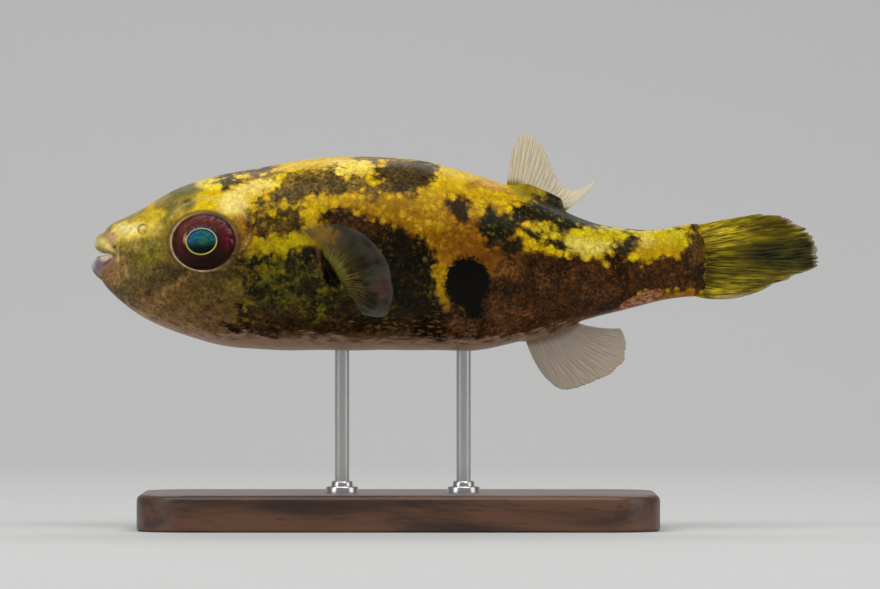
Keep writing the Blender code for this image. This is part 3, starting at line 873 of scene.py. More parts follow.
# %% Lay the blotches
SADDLES = [
    (27.4, 20.55, 4.0, 1.6, 8), (24.0, 19.4, 1.6, 1.1, 20), (30.4, 20.2, 1.1, 0.8, -20),
    (20.8, 17.6, 1.4, 0.8, 40), (21.4, 15.6, 1.5, 1.5, 0), (23.6, 16.3, 2.4, 1.3, 0),
    (24.9, 17.2, 1.0, 0.8, 0), (24.2, 15.4, 1.9, 0.9, 0), (33.1, 20.5, 1.6, 0.7, -18),
    (34.8, 19.5, 0.8, 0.7, -40), (38.5, 21.4, 3.4, 2.1, 0), (41.1, 22.5, 1.6, 1.1, -14),
    (35.2, 23.8, 2.6, 0.45, 0), (36.0, 21.3, 0.9, 0.6, 30), (17.3, 20.8, 0.8, 0.7, 50),
    (19.0, 22.2, 3.6, 0.35, 10), (21.2, 22.2, 1.6, 0.4, 8),
]
FLANK = [
    (31.7, 15.6, 2.8, 1.4, -16), (35.7, 12.7, 4.3, 3.0, -20), (39.0, 11.4, 3.3, 2.5, 0),
    (38.8, 7.7, 3.5, 3.6, 0), (33.1, 9.2, 5.0, 5.0, 0), (35.7, 5.2, 7.5, 2.8, 0),
    (27.3, 4.9, 9.0, 2.6, 0), (46.0, 3.2, 7.0, 1.9, 0), (21.6, 3.0, 4.8, 0.7, 4),
]
MOSSY = [(24.4, 8.4, 5.6, 4.0, 0), (20.8, 10.2, 2.6, 1.9, -35), (26.5, 6.5, 4.5, 3.0, 0)]
SPOTS = [
    (45.6, 17.4, 1.1, 1.5, 20), (50.3, 14.8, 1.95, 2.1, 0), (49.5, 16.8, 0.6, 0.8, 0),
    (52.0, 12.9, 1.0, 1.4, 30), (53.4, 16.7, 1.8, 1.0, 0), (56.1, 16.5, 1.2, 0.8, 0),
    (54.8, 17.5, 2.2, 1.0, 0), (57.3, 17.6, 2.0, 1.6, -30), (59.4, 16.2, 2.6, 0.8, -12),
    (65.5, 12.7, 1.9, 0.75, 44), (57.6, 15.7, 1.3, 0.6, -20), (66.5, 15.6, 5.0, 0.3, -2),
    (54.8, 14.2, 1.6, 0.3, -32), (57.0, 13.3, 1.6, 0.3, -20),
]
REAR = [
    (55.0, 7.4, 5.5, 4.6, 0), (51.5, 5.6, 4.2, 3.6, 0), (60.0, 7.6, 6.0, 3.9, 0),
    (66.0, 8.2, 5.0, 2.7, 6), (71.0, 9.4, 4.2, 2.1, 10), (74.9, 10.8, 1.7, 3.6, 0),
    (74.5, 14.2, 0.5, 2.4, -12), (64.5, 11.3, 0.8, 0.6, 0),
]
WINDOWS = [
    (22.1, 17.5, 1.0, 0.6, 0), (25.0, 17.9, 1.9, 0.5, 8), (23.6, 16.2, 0.55, 0.55, 0),
    (35.5, 20.9, 0.85, 0.6, 10), (21.6, 9.6, 0.8, 0.7, 0), (20.5, 7.9, 0.5, 0.5, 0),
    (19.6, 5.6, 1.0, 0.6, 30), (23.4, 12.3, 1.3, 0.8, 0), (25.6, 6.4, 0.8, 0.5, 0),
    (29.6, 7.4, 1.2, 0.55, -15), (55.3, 15.4, 1.4, 0.6, -20), (52.4, 14.4, 0.9, 1.1, 0),
    (32.3, 21.9, 1.8, 0.7, -5), (63.5, 12.0, 1.2, 0.6, 0), (57.0, 12.5, 2.2, 0.6, -12),
    (20.4, 12.1, 0.9, 0.9, 0), (27.8, 17.7, 1.6, 0.5, 8),
    (23.4, 14.0, 0.8, 0.5, 0), (25.0, 22.0, 1.0, 0.5, 10),
]
CUTS = [(68.2, 6.5, 2.4, 0.9, 22), (72.4, 7.0, 2.4, 0.9, 4), (43.5, 8.8, 0.42, 2.7, 6)]
BLOTCHES = {"saddle": SADDLES, "flank": FLANK, "moss": MOSSY, "spot": SPOTS, "rear": REAR}
print(sum(len(marks) for marks in BLOTCHES.values()), "blotches,", len(WINDOWS), "windows")

# %% [markdown]
# ## From blotches to one field
# Ellipses of one kind melt into each other, and the kinds are then joined by taking the
# highest. The windows and a few sharp cuts are taken away again. What is left is one number
# at each point that says how deep inside a dark blotch it lies.

# %% The blotches' field
fields = {name: union(mark_along, mark_height, marks) for name, marks in BLOTCHES.items()}
fields["moss"] = np.minimum(fields["moss"], 0.45 + 0.9 * cloud(vertices, 1.7, 7))
fields["saddle"] = fields["saddle"] + 0.25 * cloud(vertices, 1.2, 8)
blot = np.max(list(fields.values()), axis=0)
blot = np.minimum(blot, 0.1 - union(mark_along, mark_height, WINDOWS))
for mark in CUTS:
    blot = np.minimum(blot, -inside(mark_along, mark_height, mark))
print(f"{(blot > 0).mean():.0%} of the skin's points are dark")

# %% [markdown]
# ## Pigment of the blotches
# The dark pigment isn't one black. Each kind of blotch has its own tint, mixed where two
# kinds meet, and a few strokes warm or deepen it. A second colour serves the small flecks.

# %% Tints and flecks
tints = {
    "saddle": rgb(102, 78, 24), "flank": rgb(19, 13, 5), "moss": rgb(28, 27, 9),
    "spot": rgb(30, 24, 8), "rear": rgb(66, 38, 13),
}
share = {name: np.exp(2.2 * np.clip(field, -4, 3)) for name, field in fields.items()}
total = sum(share.values())
tint = sum(share[name][:, None] * tints[name] for name in fields) / total[:, None]
tint_strokes = [
    ((33.0, 15.6, 4.2, 1.3, -18), rgb(58, 30, 10), 0.8, 0.8),
    ((20.8, 15.1, 1.6, 1.1, 0), rgb(64, 40, 10), 0.9, 0.6),
    ((22.9, 15.9, 3.0, 1.4, 0), rgb(60, 44, 12), 0.85, 0.7),
    ((24.4, 19.0, 1.6, 0.7, 10), rgb(72, 54, 26), 0.8, 0.5),
    ((66.5, 5.0, 7.0, 0.6, 12), rgb(124, 78, 48), 0.7, 0.5),
    ((75.0, 10.8, 1.6, 2.4, 0), rgb(42, 25, 8), 0.9, 0.6),
    ((38.0, 21.4, 3.6, 1.9, 0), rgb(62, 44, 15), 0.9, 0.8),
    ((41.4, 22.6, 2.2, 1.6, -14), rgb(44, 36, 16), 0.8, 0.8),
    ((29, 3.8, 11, 1.9, 0), rgb(58, 40, 18), 0.8, 1.0),
    ((51.2, 10.0, 2.4, 1.5, 0), rgb(96, 58, 20), 0.8, 0.8),
    ((75.2, 13.6, 1.2, 2.6, 0), rgb(78, 56, 14), 0.9, 0.5),
    ((17.3, 20.9, 1.6, 1.2, 50), rgb(62, 60, 30), 0.9, 0.8),
    ((45.5, 17.4, 1.6, 1.8, 20), rgb(62, 38, 10), 0.9, 0.6),
    ((50.6, 7.7, 1.3, 1.2, 0), rgb(38, 22, 10), 0.9, 0.8),
    ((57.5, 10.4, 1.6, 2.4, 0), rgb(38, 22, 8), 0.8, 1.0),
    ((58.0, 17.8, 1.6, 1.4, -30), rgb(18, 18, 8), 0.9, 0.6),
    ((60.5, 17.0, 3.0, 0.6, -16), rgb(60, 60, 30), 0.9, 0.5),
    ((49.8, 3.4, 6.0, 1.6, 6), rgb(94, 58, 34), 0.85, 1.0),
    ((60.0, 5.6, 5.0, 1.2, 16), rgb(84, 50, 28), 0.6, 0.9),
]
paint(tint, mark_along, mark_height, tint_strokes)
speck = np.tile(rgb(120, 76, 24), (len(vertices), 1))
speck_strokes = [
    ((28, 19.5, 12, 4.5, 8), rgb(118, 98, 34), 1.0, 1.5),
    ((36, 9, 9, 6.5, 0), rgb(104, 88, 26), 1.0, 1.5),
    ((24, 8.6, 6.0, 4.6, 0), rgb(108, 98, 16), 1.0, 1.5),
    ((54, 16.5, 7, 2.5, 0), rgb(112, 110, 16), 1.0, 1.2),
    ((60, 7.4, 15, 6.0, 0), rgb(98, 58, 24), 1.0, 1.5),
]
paint(speck, mark_along, mark_height, speck_strokes)
print(len(tint_strokes) + len(speck_strokes), "strokes of pigment")

# %% [markdown]
# ## The gill opening
# In front of each oar's root a short slit lets the water out. Its depth is painted nearly black
# as painted shade, with a maroon patch over it and a pale line of skin at its front edge.

# %% Colours of the gill opening
# Painted shade: the slit's depth is pushed into the dark pigment and washed nearly black.
hollow = gill_pit(true_along, true_height) * (np.abs(vertices[:, 1]) > 4)
blot = np.maximum(blot, 5.0 * hollow - 4.0)
gill_strokes = [
    ((27.9, 10.2, 1.0, 2.6, -4), rgb(56, 40, 26), 0.9, 0.4),
    ((27.3, 11.9, 1.25, 1.05, -20), rgb(26, 9, 14), 1.0, 0.25),
    ((28.35, 11.2, 0.22, 1.7, 8), rgb(128, 92, 60), 0.75, 0.2),
]
for field in (ground, tint):
    paint(field, true_along, true_height, gill_strokes)
    field[:] = wash(field, 0.9 * hollow, rgb(10, 8, 10))
print("gill opening", round(hollow.max(), 2), "deep at its darkest")

# %% [markdown]
# ## The eye spot and the fine texture's strength
# The round black spot with a yellow edge is what the fish is known by. It gets a field of its
# own. The other fields say where the fine texture is strong: the net on the upper flank, the
# streaks low down, the flecks in the dark, the mottling of the face and the moss behind it.

# %% Eye spot and texture fields
EYE_SPOT = (46.45, 8.4, 2.8, 3.1, 0)
EYE_SPOT_FOOT = (47.2, 5.0, 1.05, 1.15, 0)
SNOUT_PATCH = (5.6, 14.7, 3.6, 1.6, 14)
# Where the painted highlight above and behind the eye lies.
HIGHLIGHT_PATCH = (17.4, 18.0, 2.2, 1.8, -20)
LIP_MIDDLE = (1.2, 12.2, 1.9, 2.7, 0)
BOTH_LIPS = (1.0, 12.0, 2.6, 3.2, 0)


def left_by(mark, amount, soft):
    """The share of a texture that is left where a mark calms it."""
    return 1 - amount * smoothstep(-0.3, soft, inside(true_along, true_height, mark))


spot_foot = inside(true_along, true_height, EYE_SPOT_FOOT)
ocellus = smooth_max(inside(true_along, true_height, EYE_SPOT), spot_foot, 0.6)
net = 0.08 + 0.9 * np.exp(-(((mark_along - 40.5) / 12) ** 4 + ((mark_height - 15.4) / 4.6) ** 4))
net += 0.30 * smoothstep(56, 62, true_along)
net += 0.4 * band(true_along, 53, 59, 1.0) * smoothstep(10, 12, true_height)
streak = smoothstep(27, 34, mark_along) * (1 - smoothstep(49, 55, mark_along))
streak *= band(true_height, 1.6, 4.6, 0.9)
fleck = np.full(len(vertices), 0.6)
fleck += 0.1 * smoothstep(-0.5, 1.0, fields["rear"]) - 0.35 * smoothstep(0, 1.5, fields["flank"])
face = (1 - smoothstep(17, 22, true_along)) * (1 - smoothstep(14, 17, true_height))
face *= left_by(SNOUT_PATCH, 0.8, 0.8) * left_by(LIP_MIDDLE, 0.9, 0.4)
mossy = union(mark_along, mark_height, MOSSY + [(30.4, 8.0, 1.6, 2.6, 0)])
moss = 0.85 * (1 - smoothstep(0.1, 0.5, hollow)) * smoothstep(-0.6, 0.8, mossy)
grit = 1 + 0.8 * (1 - smoothstep(17, 22, true_along)) * (1 - smoothstep(12, 14, true_height))
grit *= left_by(SNOUT_PATCH, 0.6, 0.8) * left_by(HIGHLIGHT_PATCH, 0.6, 0.8) * left_by(BOTH_LIPS, 0.8, 0.4)
grit *= 1 - 0.8 * smoothstep(4.4, 4.15, oval)

vertex_fields = {
    "grit": grit, "blot": blot, "ocellus": ocellus, "net": net, "streak": streak,
    "fleck": fleck, "belly": belly, "face": face, "moss": moss,
}

# %% [markdown]
# ## Naming the fields on the skin
# Each field becomes a named value on the skin's points, so the finish can read it wherever
# it is needed, and the fine texture can follow the fish and not the room.

# %% Store the fields
def vertex_values(mesh, name, kind, values):
    """One named value, vector or colour for each point of a mesh."""
    layer = mesh.attributes.new(name, kind, "POINT")
    key = {"FLOAT": "value", "FLOAT_VECTOR": "vector", "FLOAT_COLOR": "color"}[kind]
    layer.data.foreach_set(key, np.asarray(values, np.float32).ravel())


def with_alpha(colours):
    return np.concatenate([colours, np.ones((len(colours), 1))], axis=1)


vertex_values(skin.data, "fish_place", "FLOAT_VECTOR", vertices)
for name, colours in (("ground", ground), ("tint", tint), ("speck", speck)):
    vertex_values(skin.data, name, "FLOAT_COLOR", with_alpha(colours))
for name, values in vertex_fields.items():
    vertex_values(skin.data, name, "FLOAT", values)
    print(f"{name}: {values.min():.2f} to {values.max():.2f}")

# %% [markdown]
# ## A pen for shader nodes
# Node trees are drawn by hand in an editor; in a script the same work needs a short pen.
# Each call adds one node, joins or sets its inputs, and gives back its output.

# %% The pen
class Pen:
    """Draws nodes into one tree."""

    def __init__(self, tree):
        self.tree = tree

    def put(self, socket, value):
        if isinstance(value, bpy.types.NodeSocket):
            self.tree.links.new(value, socket)
        elif value is not None:
            size = len(socket.default_value) if hasattr(socket.default_value, "__len__") else 0
            if size == 4 and len(value) == 3:
                value = (*value, 1.0)
            socket.default_value = value

    def node(self, kind, settings=None, **inputs):
        node = self.tree.nodes.new("ShaderNode" + kind)
        for key, value in (settings or {}).items():
            setattr(node, key, value)
        for key, value in inputs.items():
            self.put(node.inputs[key.replace("_", " ")], value)
        return node

    def math(self, operation, *values, clamp=False):
        node = self.node("Math", {"operation": operation, "use_clamp": clamp})
        for socket, value in zip(node.inputs, values):
            self.put(socket, value)
        return node.outputs[0]

    def times(self, a, b):
        return self.math("MULTIPLY", a, b)

    def plus(self, a, b):
        return self.math("ADD", a, b)

    def minus(self, a, b):
        return self.math("SUBTRACT", a, b)

    def larger(self, a, b):
        return self.math("MAXIMUM", a, b)

    def times_plus(self, a, b, c):
        """a times b, plus c."""
        return self.math("MULTIPLY_ADD", a, b, c)

    def vector(self, operation, a, b=None, scale=None):
        node = self.node("VectorMath", {"operation": operation})
        self.put(node.inputs[0], a)
        self.put(node.inputs[1], b)
        if scale is not None:
            self.put(node.inputs["Scale"], scale)
        return node.outputs["Value" if operation in ("LENGTH", "DOT_PRODUCT") else "Vector"]

    def stretched(self, place, amounts):
        return self.vector("MULTIPLY", place, amounts)

    def distance(self, place, centre, amounts=(1.0, 1.0, 1.0)):
        """How far a place is from a centre, with its three directions stretched."""
        away = self.vector("SUBTRACT", place, centre)
        return self.vector("LENGTH", self.stretched(away, amounts))

    def ramp(self, value, low, high, to_low=0.0, to_high=1.0):
        node = self.node("MapRange", {"interpolation_type": "SMOOTHSTEP"})
        for name, given in (
            ("Value", value), ("From Min", low), ("From Max", high),
            ("To Min", to_low), ("To Max", to_high),
        ):
            self.put(node.inputs[name], given)
        return node.outputs[0]

    def mix(self, factor, a, b, blend="MIX"):
        node = self.node("Mix", {"data_type": "RGBA", "blend_type": blend, "clamp_factor": True})
        self.put(node.inputs[0], factor)
        self.put(node.inputs[6], a)
        self.put(node.inputs[7], b)
        return node.outputs[2]

    def shade(self, colour, factor):
        """A colour made lighter or darker by a number, or a place moved out by one."""
        return self.vector("SCALE", colour, scale=factor)

    def noise(self, place, scale, detail=2.0, roughness=0.5, out="Factor"):
        node = self.node("TexNoise", {}, Vector=place, Scale=scale, Detail=detail, Roughness=roughness)
        return node.outputs[0 if out == "Factor" else 1]

    def attribute(self, name, out="Fac"):
        return self.node("Attribute", {"attribute_name": name, "attribute_type": "GEOMETRY"}).outputs[out]

    def finish(self, **inputs):
        """Set or join inputs of the material's own Principled node."""
        principled = self.tree.nodes["Principled BSDF"]
        for key, value in inputs.items():
            self.put(principled.inputs[key.replace("_", " ")], value)

    def group(self, tree, **inputs):
        node = self.tree.nodes.new("ShaderNodeGroup")
        node.node_tree = tree
        for key, value in inputs.items():
            self.put(node.inputs[key.replace("_", " ")], value)
        return node.outputs


def new_group(name, inputs, outputs):
    """An empty node group with named sockets: its tree, pen, input outlets and output inlets."""
    tree = bpy.data.node_groups.new(name, "ShaderNodeTree")
    for label, kind, default in inputs:
        socket = tree.interface.new_socket(label, in_out="INPUT", socket_type="NodeSocket" + kind)
        if default is not None:
            socket.default_value = default
    for label, kind in outputs:
        tree.interface.new_socket(label, in_out="OUTPUT", socket_type="NodeSocket" + kind)
    start = tree.nodes.new("NodeGroupInput")
    end = tree.nodes.new("NodeGroupOutput")
    return tree, Pen(tree), start.outputs, end.inputs


# %% [markdown]
# ## Cobbles
# A puffer has no scales. Its skin is a pavement of tiny soft swellings, each with its own
# load of pigment, which is why every border of a marking is scalloped. This group makes
# such a pavement of any size: a dome that is 1 in the middle of each cobble, and a shade
# that is different for each.

# %% Node group: cobbles
COBBLES, pen, given, result = new_group(
    "skin cobbles",
    [("Place", "Vector", None), ("Size", "Float", 1.0), ("Wander", "Float", 0.5)],
    [("Dome", "Float"), ("Shade", "Float")],
)
scaled = pen.vector("SCALE", given["Place"], scale=pen.math("DIVIDE", 1.0, given["Size"]))
drift = pen.vector("SUBTRACT", pen.noise(scaled, 0.9, 2.0, out="Color"), (0.5, 0.5, 0.5))
moved = pen.vector("ADD", scaled, pen.vector("SCALE", drift, scale=given["Wander"]))
cells = pen.node("TexVoronoi", {"feature": "F1"}, Vector=moved, Scale=1.0, Randomness=0.9)
pen.put(result["Dome"], pen.ramp(cells.outputs["Distance"], 0.75, 0.05))
pen.put(result["Shade"], pen.node("SeparateColor", {}, Color=cells.outputs["Color"]).outputs[0])

# %% [markdown]
# ## The skin's finish, first its light ground
# The ground is tinted cobble by cobble, so it is never one flat yellow. The joints between
# cobbles darken on the upper flank, and slow noise mottles the face. Everything is read in
# the fish's own millimetres, so the texture keeps its size on every part.

# %% Light ground
pen = Pen(skin_look.node_tree)
place = pen.attribute("fish_place", "Vector")
blot_at = pen.attribute("blot")
net = pen.attribute("net")
face = pen.attribute("face")
big = pen.group(COBBLES, Place=place, Size=1.1, Wander=0.9)
small = pen.group(COBBLES, Place=place, Size=0.46, Wander=0.6)
grain = pen.noise(place, 2.6, 4.0, 0.65)
patches = pen.noise(place, 0.75, 3.0, 0.6)

joint_at = pen.times(net, pen.minus(1.0, big["Dome"]))
ground_at = pen.attribute("ground", "Color")
joint = pen.mix(0.85, ground_at, pen.mix(1.0, ground_at, (0.46, 0.33, 0.22), "MULTIPLY"))
light = pen.mix(pen.times(joint_at, 1.15), ground_at, joint)
pale_at = pen.times(pen.ramp(big["Shade"], 0.72, 0.95), pen.ramp(big["Dome"], 0.25, 0.8))
pale_at = pen.times(pale_at, pen.times(net, 0.15))
light = pen.mix(pale_at, light, pen.mix(0.6, light, rgb(214, 178, 112)))
rough = pen.times_plus(net, 1.0, 0.85)
vary = pen.times_plus(pen.minus(grain, 0.5), rough, 0.81)
vary = pen.times_plus(big["Shade"], 0.16, vary)
vary = pen.times_plus(small["Shade"], 0.16, vary)
light = pen.shade(light, vary)
stipple = pen.noise(place, 1.7, 3.0, 0.6)
tan_at = pen.times(pen.ramp(stipple, 0.48, 0.58), net)
light = pen.mix(pen.times(tan_at, 0.8), light, joint)
mottle = pen.ramp(pen.times_plus(grain, 0.5, pen.times(patches, 0.5)), 0.54, 0.42)
mottle = pen.times(mottle, face)
light = pen.mix(pen.times(mottle, 0.55), light, pen.shade(light, 0.5))
blush = pen.noise(place, 0.95, 4.0, 0.62)
light = pen.mix(face, light, pen.shade(light, pen.times_plus(blush, 2.2, -0.06)))
warm_at = pen.times(face, pen.ramp(stipple, 0.52, 0.62))
light = pen.mix(pen.times(warm_at, 0.5), light, rgb(128, 112, 40))
pores = pen.noise(place, 6.0, 3.0, 0.7)
pore_depth = pen.times_plus(face, 0.75, 0.3)
pores = pen.times(pen.minus(pores, 0.5), pore_depth)
light = pen.shade(light, pen.plus(1.0, pores))
print("light ground:", len(skin_look.node_tree.nodes), "nodes")

# %% [markdown]
# ## Dark pigment over the cobbles
# Where a blotch's field rises, its dark pigment first rusts the joints and then closes over
# the cobbles, leaving flecks. That one rule gives both the scalloped borders and the
# freckles inside them, which painted borders would never do so evenly.

# %% Dark pigment
lobes = pen.times_plus(big["Dome"], -0.8, 0.42)
lobes = pen.times_plus(big["Shade"], -0.5, lobes)
lobes = pen.plus(lobes, pen.times_plus(grain, -0.8, 0.62))
field = pen.plus(blot_at, lobes)
rust_share = pen.times_plus(net, 0.4, 0.45)
rust_mask = pen.times(pen.ramp(field, -0.60, 0.05), rust_share)
rust = pen.mix(1.0, ground_at, (0.42, 0.27, 0.14), "MULTIPLY")
tint_at = pen.attribute("tint", "Color")
rust = pen.mix(0.45, rust, tint_at)
dark_mask = pen.ramp(field, -0.30, 0.42)

speck_at = pen.attribute("speck", "Color")
fleck_mask = pen.times_plus(small["Dome"], 0.2, pen.noise(place, 1.5, 4.0, 0.75))
fleck_mask = pen.ramp(pen.times_plus(small["Shade"], 0.15, fleck_mask), 0.62, 0.90)
clumps = pen.noise(place, 0.55, 3.0, 0.6)
fleck_mask = pen.times(fleck_mask, pen.ramp(clumps, 0.38, 0.62, 0.35, 1.15))
fleck_mask = pen.times(fleck_mask, pen.attribute("fleck"))
dark = pen.shade(tint_at, pen.larger(pen.times_plus(patches, 2.6, -0.35), 0.3))
drift_at = pen.noise(place, 0.30, 2.0, 0.5)
dark = pen.shade(dark, pen.larger(pen.times_plus(drift_at, 3.2, -0.6), 0.35))
moss_at = pen.times(pen.attribute("moss"), pen.ramp(clumps, 0.44, 0.60))
moss_tone = pen.mix(pen.ramp(patches, 0.4, 0.65), rgb(56, 51, 12), rgb(108, 102, 18))
dark = pen.mix(moss_at, dark, moss_tone)
dark = pen.mix(fleck_mask, dark, speck_at)
dark = pen.shade(dark, pen.larger(pen.times_plus(grain, 3.0, -0.48), 0.25))
colour = pen.mix(dark_mask, pen.mix(rust_mask, light, rust), dark)
print("with the dark pigment:", len(skin_look.node_tree.nodes), "nodes")

# %% [markdown]
# ## Dots, low streaks and the belly
# Bright dots sit singly in the dark flank, longer islands run along its lower edge, and the
# belly's fleshy grey comes up under it with a torn border.

# %% Dots, streaks and belly
dots = pen.node("TexVoronoi", {"feature": "F1"}, Vector=place, Scale=0.55, Randomness=0.85)
dot_shade = pen.node("SeparateColor", {}, Color=dots.outputs["Color"]).outputs[0]
dot_mask = pen.ramp(dots.outputs["Distance"], 0.30, 0.12)
dot_mask = pen.times(dot_mask, pen.ramp(dot_shade, 0.35, 0.75))
dot_mask = pen.times(dot_mask, pen.ramp(blot_at, 0.2, 1.0))
colour = pen.mix(pen.times(dot_mask, 0.8), colour, speck_at)

stretched = pen.stretched(place, (0.55, 1.0, 1.2))
islands = pen.group(COBBLES, Place=stretched, Size=0.58, Wander=1.4)
island_mask = pen.ramp(islands["Dome"], 0.2, 0.9)
island_mask = pen.times(island_mask, pen.ramp(islands["Shade"], 0.2, 0.7))
island_mask = pen.times(island_mask, pen.attribute("streak"))
colour = pen.mix(pen.times(island_mask, 0.8), colour, rgb(122, 92, 42))
belly_edge = pen.times_plus(pen.noise(stretched, 1.0, 4.0, 0.65), 5.0, pen.attribute("belly"))
belly_mask = pen.ramp(belly_edge, 1.9, 3.3)
flesh = pen.shade(rgb(178, 144, 118), pen.times_plus(grain, 0.6, 0.68))
colour = pen.mix(belly_mask, colour, flesh)
print("with the belly:", len(skin_look.node_tree.nodes), "nodes")

# %% [markdown]
# ## The bare patch, the grit and the eye spot
# A small bare patch of pinkish skin lies under the tail stem. Fine grit, strongest in the
# dark, keeps wide areas from looking painted. Last come the black eye spot and the strands
# of yellow that lead on to the tail fin.

# %% Bare patch, grit and eye spot
BARE_PATCH = (67.9, 0.0, 6.4)
bare_place = pen.vector("SUBTRACT", place, BARE_PATCH)
bare_parts = pen.node("SeparateXYZ", {}, Vector=bare_place).outputs
bare_level = pen.times_plus(bare_parts[0], -0.36, bare_parts[2])
bare_far = pen.math("POWER", pen.math("DIVIDE", bare_level, 0.75), 2.0)
bare_far = pen.plus(pen.math("POWER", pen.math("DIVIDE", bare_parts[0], 2.7), 2.0), bare_far)
bare_mask = pen.ramp(pen.times_plus(grain, -1.2, bare_far), 0.6, 0.15)
bare = pen.mix(pen.ramp(pen.noise(stretched, 2.6, 2.0), 0.4, 0.6), rgb(126, 70, 44), rgb(206, 140, 98))
colour = pen.mix(bare_mask, colour, bare)

sand = pen.group(COBBLES, Place=place, Size=0.31, Wander=0.9)
gritty = pen.times_plus(sand["Shade"], 1.0, pen.times(sand["Dome"], 0.3))
sandy = pen.times_plus(dark_mask, 0.75, 0.32)
sandy = pen.times(sandy, pen.minus(1.0, pen.times(belly_mask, 0.6)))
sandy = pen.times(sandy, pen.attribute("grit"))
gritty = pen.times(pen.minus(gritty, 0.60), sandy)
colour = pen.shade(colour, pen.plus(gritty, 1.0))
spot_edge = pen.plus(pen.attribute("ocellus"), pen.times_plus(grain, -1.8, 0.94))
colour = pen.mix(pen.ramp(spot_edge, -0.42, 0.32), colour, rgb(2, 2, 2))
along_at = pen.node("SeparateXYZ", {}, Vector=place).outputs[0]
strands = pen.noise(pen.stretched(place, (0.35, 1.0, 5.0)), 1.0, 4.0, 0.65)
strand = pen.mix(pen.ramp(strands, 0.36, 0.62), rgb(74, 55, 11), rgb(172, 150, 16))
onto_fin = pen.times_plus(patches, 1.6, pen.times_plus(strands, 1.6, along_at))
colour = pen.mix(pen.ramp(onto_fin, 77.3, 78.0), colour, strand)
print("with the eye spot:", len(skin_look.node_tree.nodes), "nodes")

# %% [markdown]
# ## Wet, but not mirror-bright
# A thin clear coat over a soft base makes the skin wet without washing its colours out. A
# little bump gives the pavement of cobbles to the light.

# %% Gloss and fine relief
pen.finish(Base_Color=colour, Roughness=0.42, Specular_IOR_Level=0.10, Specular_Tint=(1.0, 0.88, 0.62))
pen.finish(Coat_Weight=0.05, Coat_Roughness=0.12)
relief_height = pen.times_plus(big["Dome"], 0.5, pen.times(small["Dome"], 0.35))
relief_height = pen.plus(relief_height, pen.times(grain, 0.5))
raised = pen.node("Bump", {}, Strength=0.4, Distance=0.00007, Height=relief_height)
pen.finish(Normal=raised.outputs[0])
print("skin finish:", len(skin_look.node_tree.nodes), "nodes")

# %% [markdown]
# ## Faces between rings
# The eyes, the block and the rods are all stacks of rings with the same number of points.
# Each pair of neighbours is joined by a band of quads. The stand's two shapes also get a
# flat lid at either end, so that every piece is closed.

# %% Faces between rings
def ring_faces(rings, around):
    """Quads between successive rings of points."""
    faces = []
    for i in range(rings - 1):
        for j in range(around):
            n = (j + 1) % around
            faces.append((i * around + j, i * around + n, (i + 1) * around + n, (i + 1) * around + j))
    return faces


def capped_faces(rings, around):
    """The same, closed with a face at either end."""
    faces = ring_faces(rings, around)
    faces.append(tuple(range(around - 1, -1, -1)))
    faces.append(tuple(range((rings - 1) * around, rings * around)))
    return faces


# %% [markdown]
# ## Eyes
# A pufferfish's eye is a shallow dome: a round pupil with a thin metallic rim, a wide iris
# under it, and one clear wet cornea over everything. Model makers cast it in glass or resin.
# Here the eyeball is turned like a bowl on a lathe, in fine rings, so that the pupil's edge
# and the raised rim are real steps; the cornea is a second thin shell of clear resin over it.

# %% Turn a profile on the eye's axis
PUPIL_AHEAD = 0.08


def turned(profile, side, around=96):
    """Points, faces and places in the eye's own plane for a profile of (radius, lift) pairs."""
    axis, tailward, up = eye_frame(side)
    middle = ball_middle * np.array([1.0, side, 1.0])
    turn = 2 * pi * np.arange(around) / around
    points, places = [], []
    for radius, lift in profile:
        inner = 1 - smoothstep(2.2, 3.8, radius)
        tall = 0.93 - 0.11 * inner
        for a in turn:
            spot = radius * (cos(a) * tailward + tall * sin(a) * up) + lift * axis
            spot = spot - PUPIL_AHEAD * inner * tailward
            points.append(middle + spot)
            places.append((radius * cos(a), radius * sin(a), lift))
    faces = ring_faces(len(profile), around)
    for k in (0, len(profile) - 1):
        points.append(middle + profile[k][1] * axis - PUPIL_AHEAD * (profile[k][1] > 0) * tailward)
        places.append((0.0, 0.0, profile[k][1]))
        for a in range(around):
            faces.append((k * around + a, k * around + (a + 1) % around, len(points) - 1))
    return np.array(points), faces, np.array(places)


def dome(radius):
    """The eyeball's lift over its middle plane at a distance from its axis."""
    return EYE_HALF_DEPTH * max(0.0, 1 - (radius / EYE_RADIUS) ** 2.5) ** (1 / 2.5)


# %% [markdown]
# ## The eyeball's and the cornea's sections
# The pupil lies a little under the eyeball's dome, the rim stands up round it, and the iris
# is dished between rim and lid. The cornea follows the dome itself, outside and inside.

# %% Turn the eyes
PUPIL = 1.86
RIM = 2.03
eye_profile = [(0.02, dome(0) - 0.32), (0.6, dome(0.6) - 0.32), (1.2, dome(1.2) - 0.30)]
eye_profile += [(r, dome(r) - 0.28) for r in np.linspace(1.4, PUPIL - 0.06, 6)]
eye_profile += [(PUPIL, dome(PUPIL) - 0.20), (1.91, dome(1.91) - 0.135), (1.98, dome(1.98) - 0.13)]
eye_profile += [(RIM, dome(RIM) - 0.19), (RIM + 0.07, dome(RIM) - 0.26)]
eye_profile += [(r, dome(r) - 0.20 - 0.06 * sin((r - 2.1) / 2.0 * pi)) for r in np.linspace(2.3, 4.2, 25)]
eye_profile += [(4.24, 0.1), (3.9, -0.9), (2.8, -1.7), (1.2, -2.1), (0.02, -2.15)]
cornea_profile = [(r, dome(r)) for r in (0.02, 0.6, 1.2, 1.8, 2.3, 2.8, 3.2, 3.6, 3.85, 4.0, 4.1, 4.2)]
cornea_profile += [(r, dome(r) - 0.06) for r in (4.14, 4.0, 3.8, 3.5, 3.0, 2.4, 1.8, 1.2, 0.6, 0.02)]

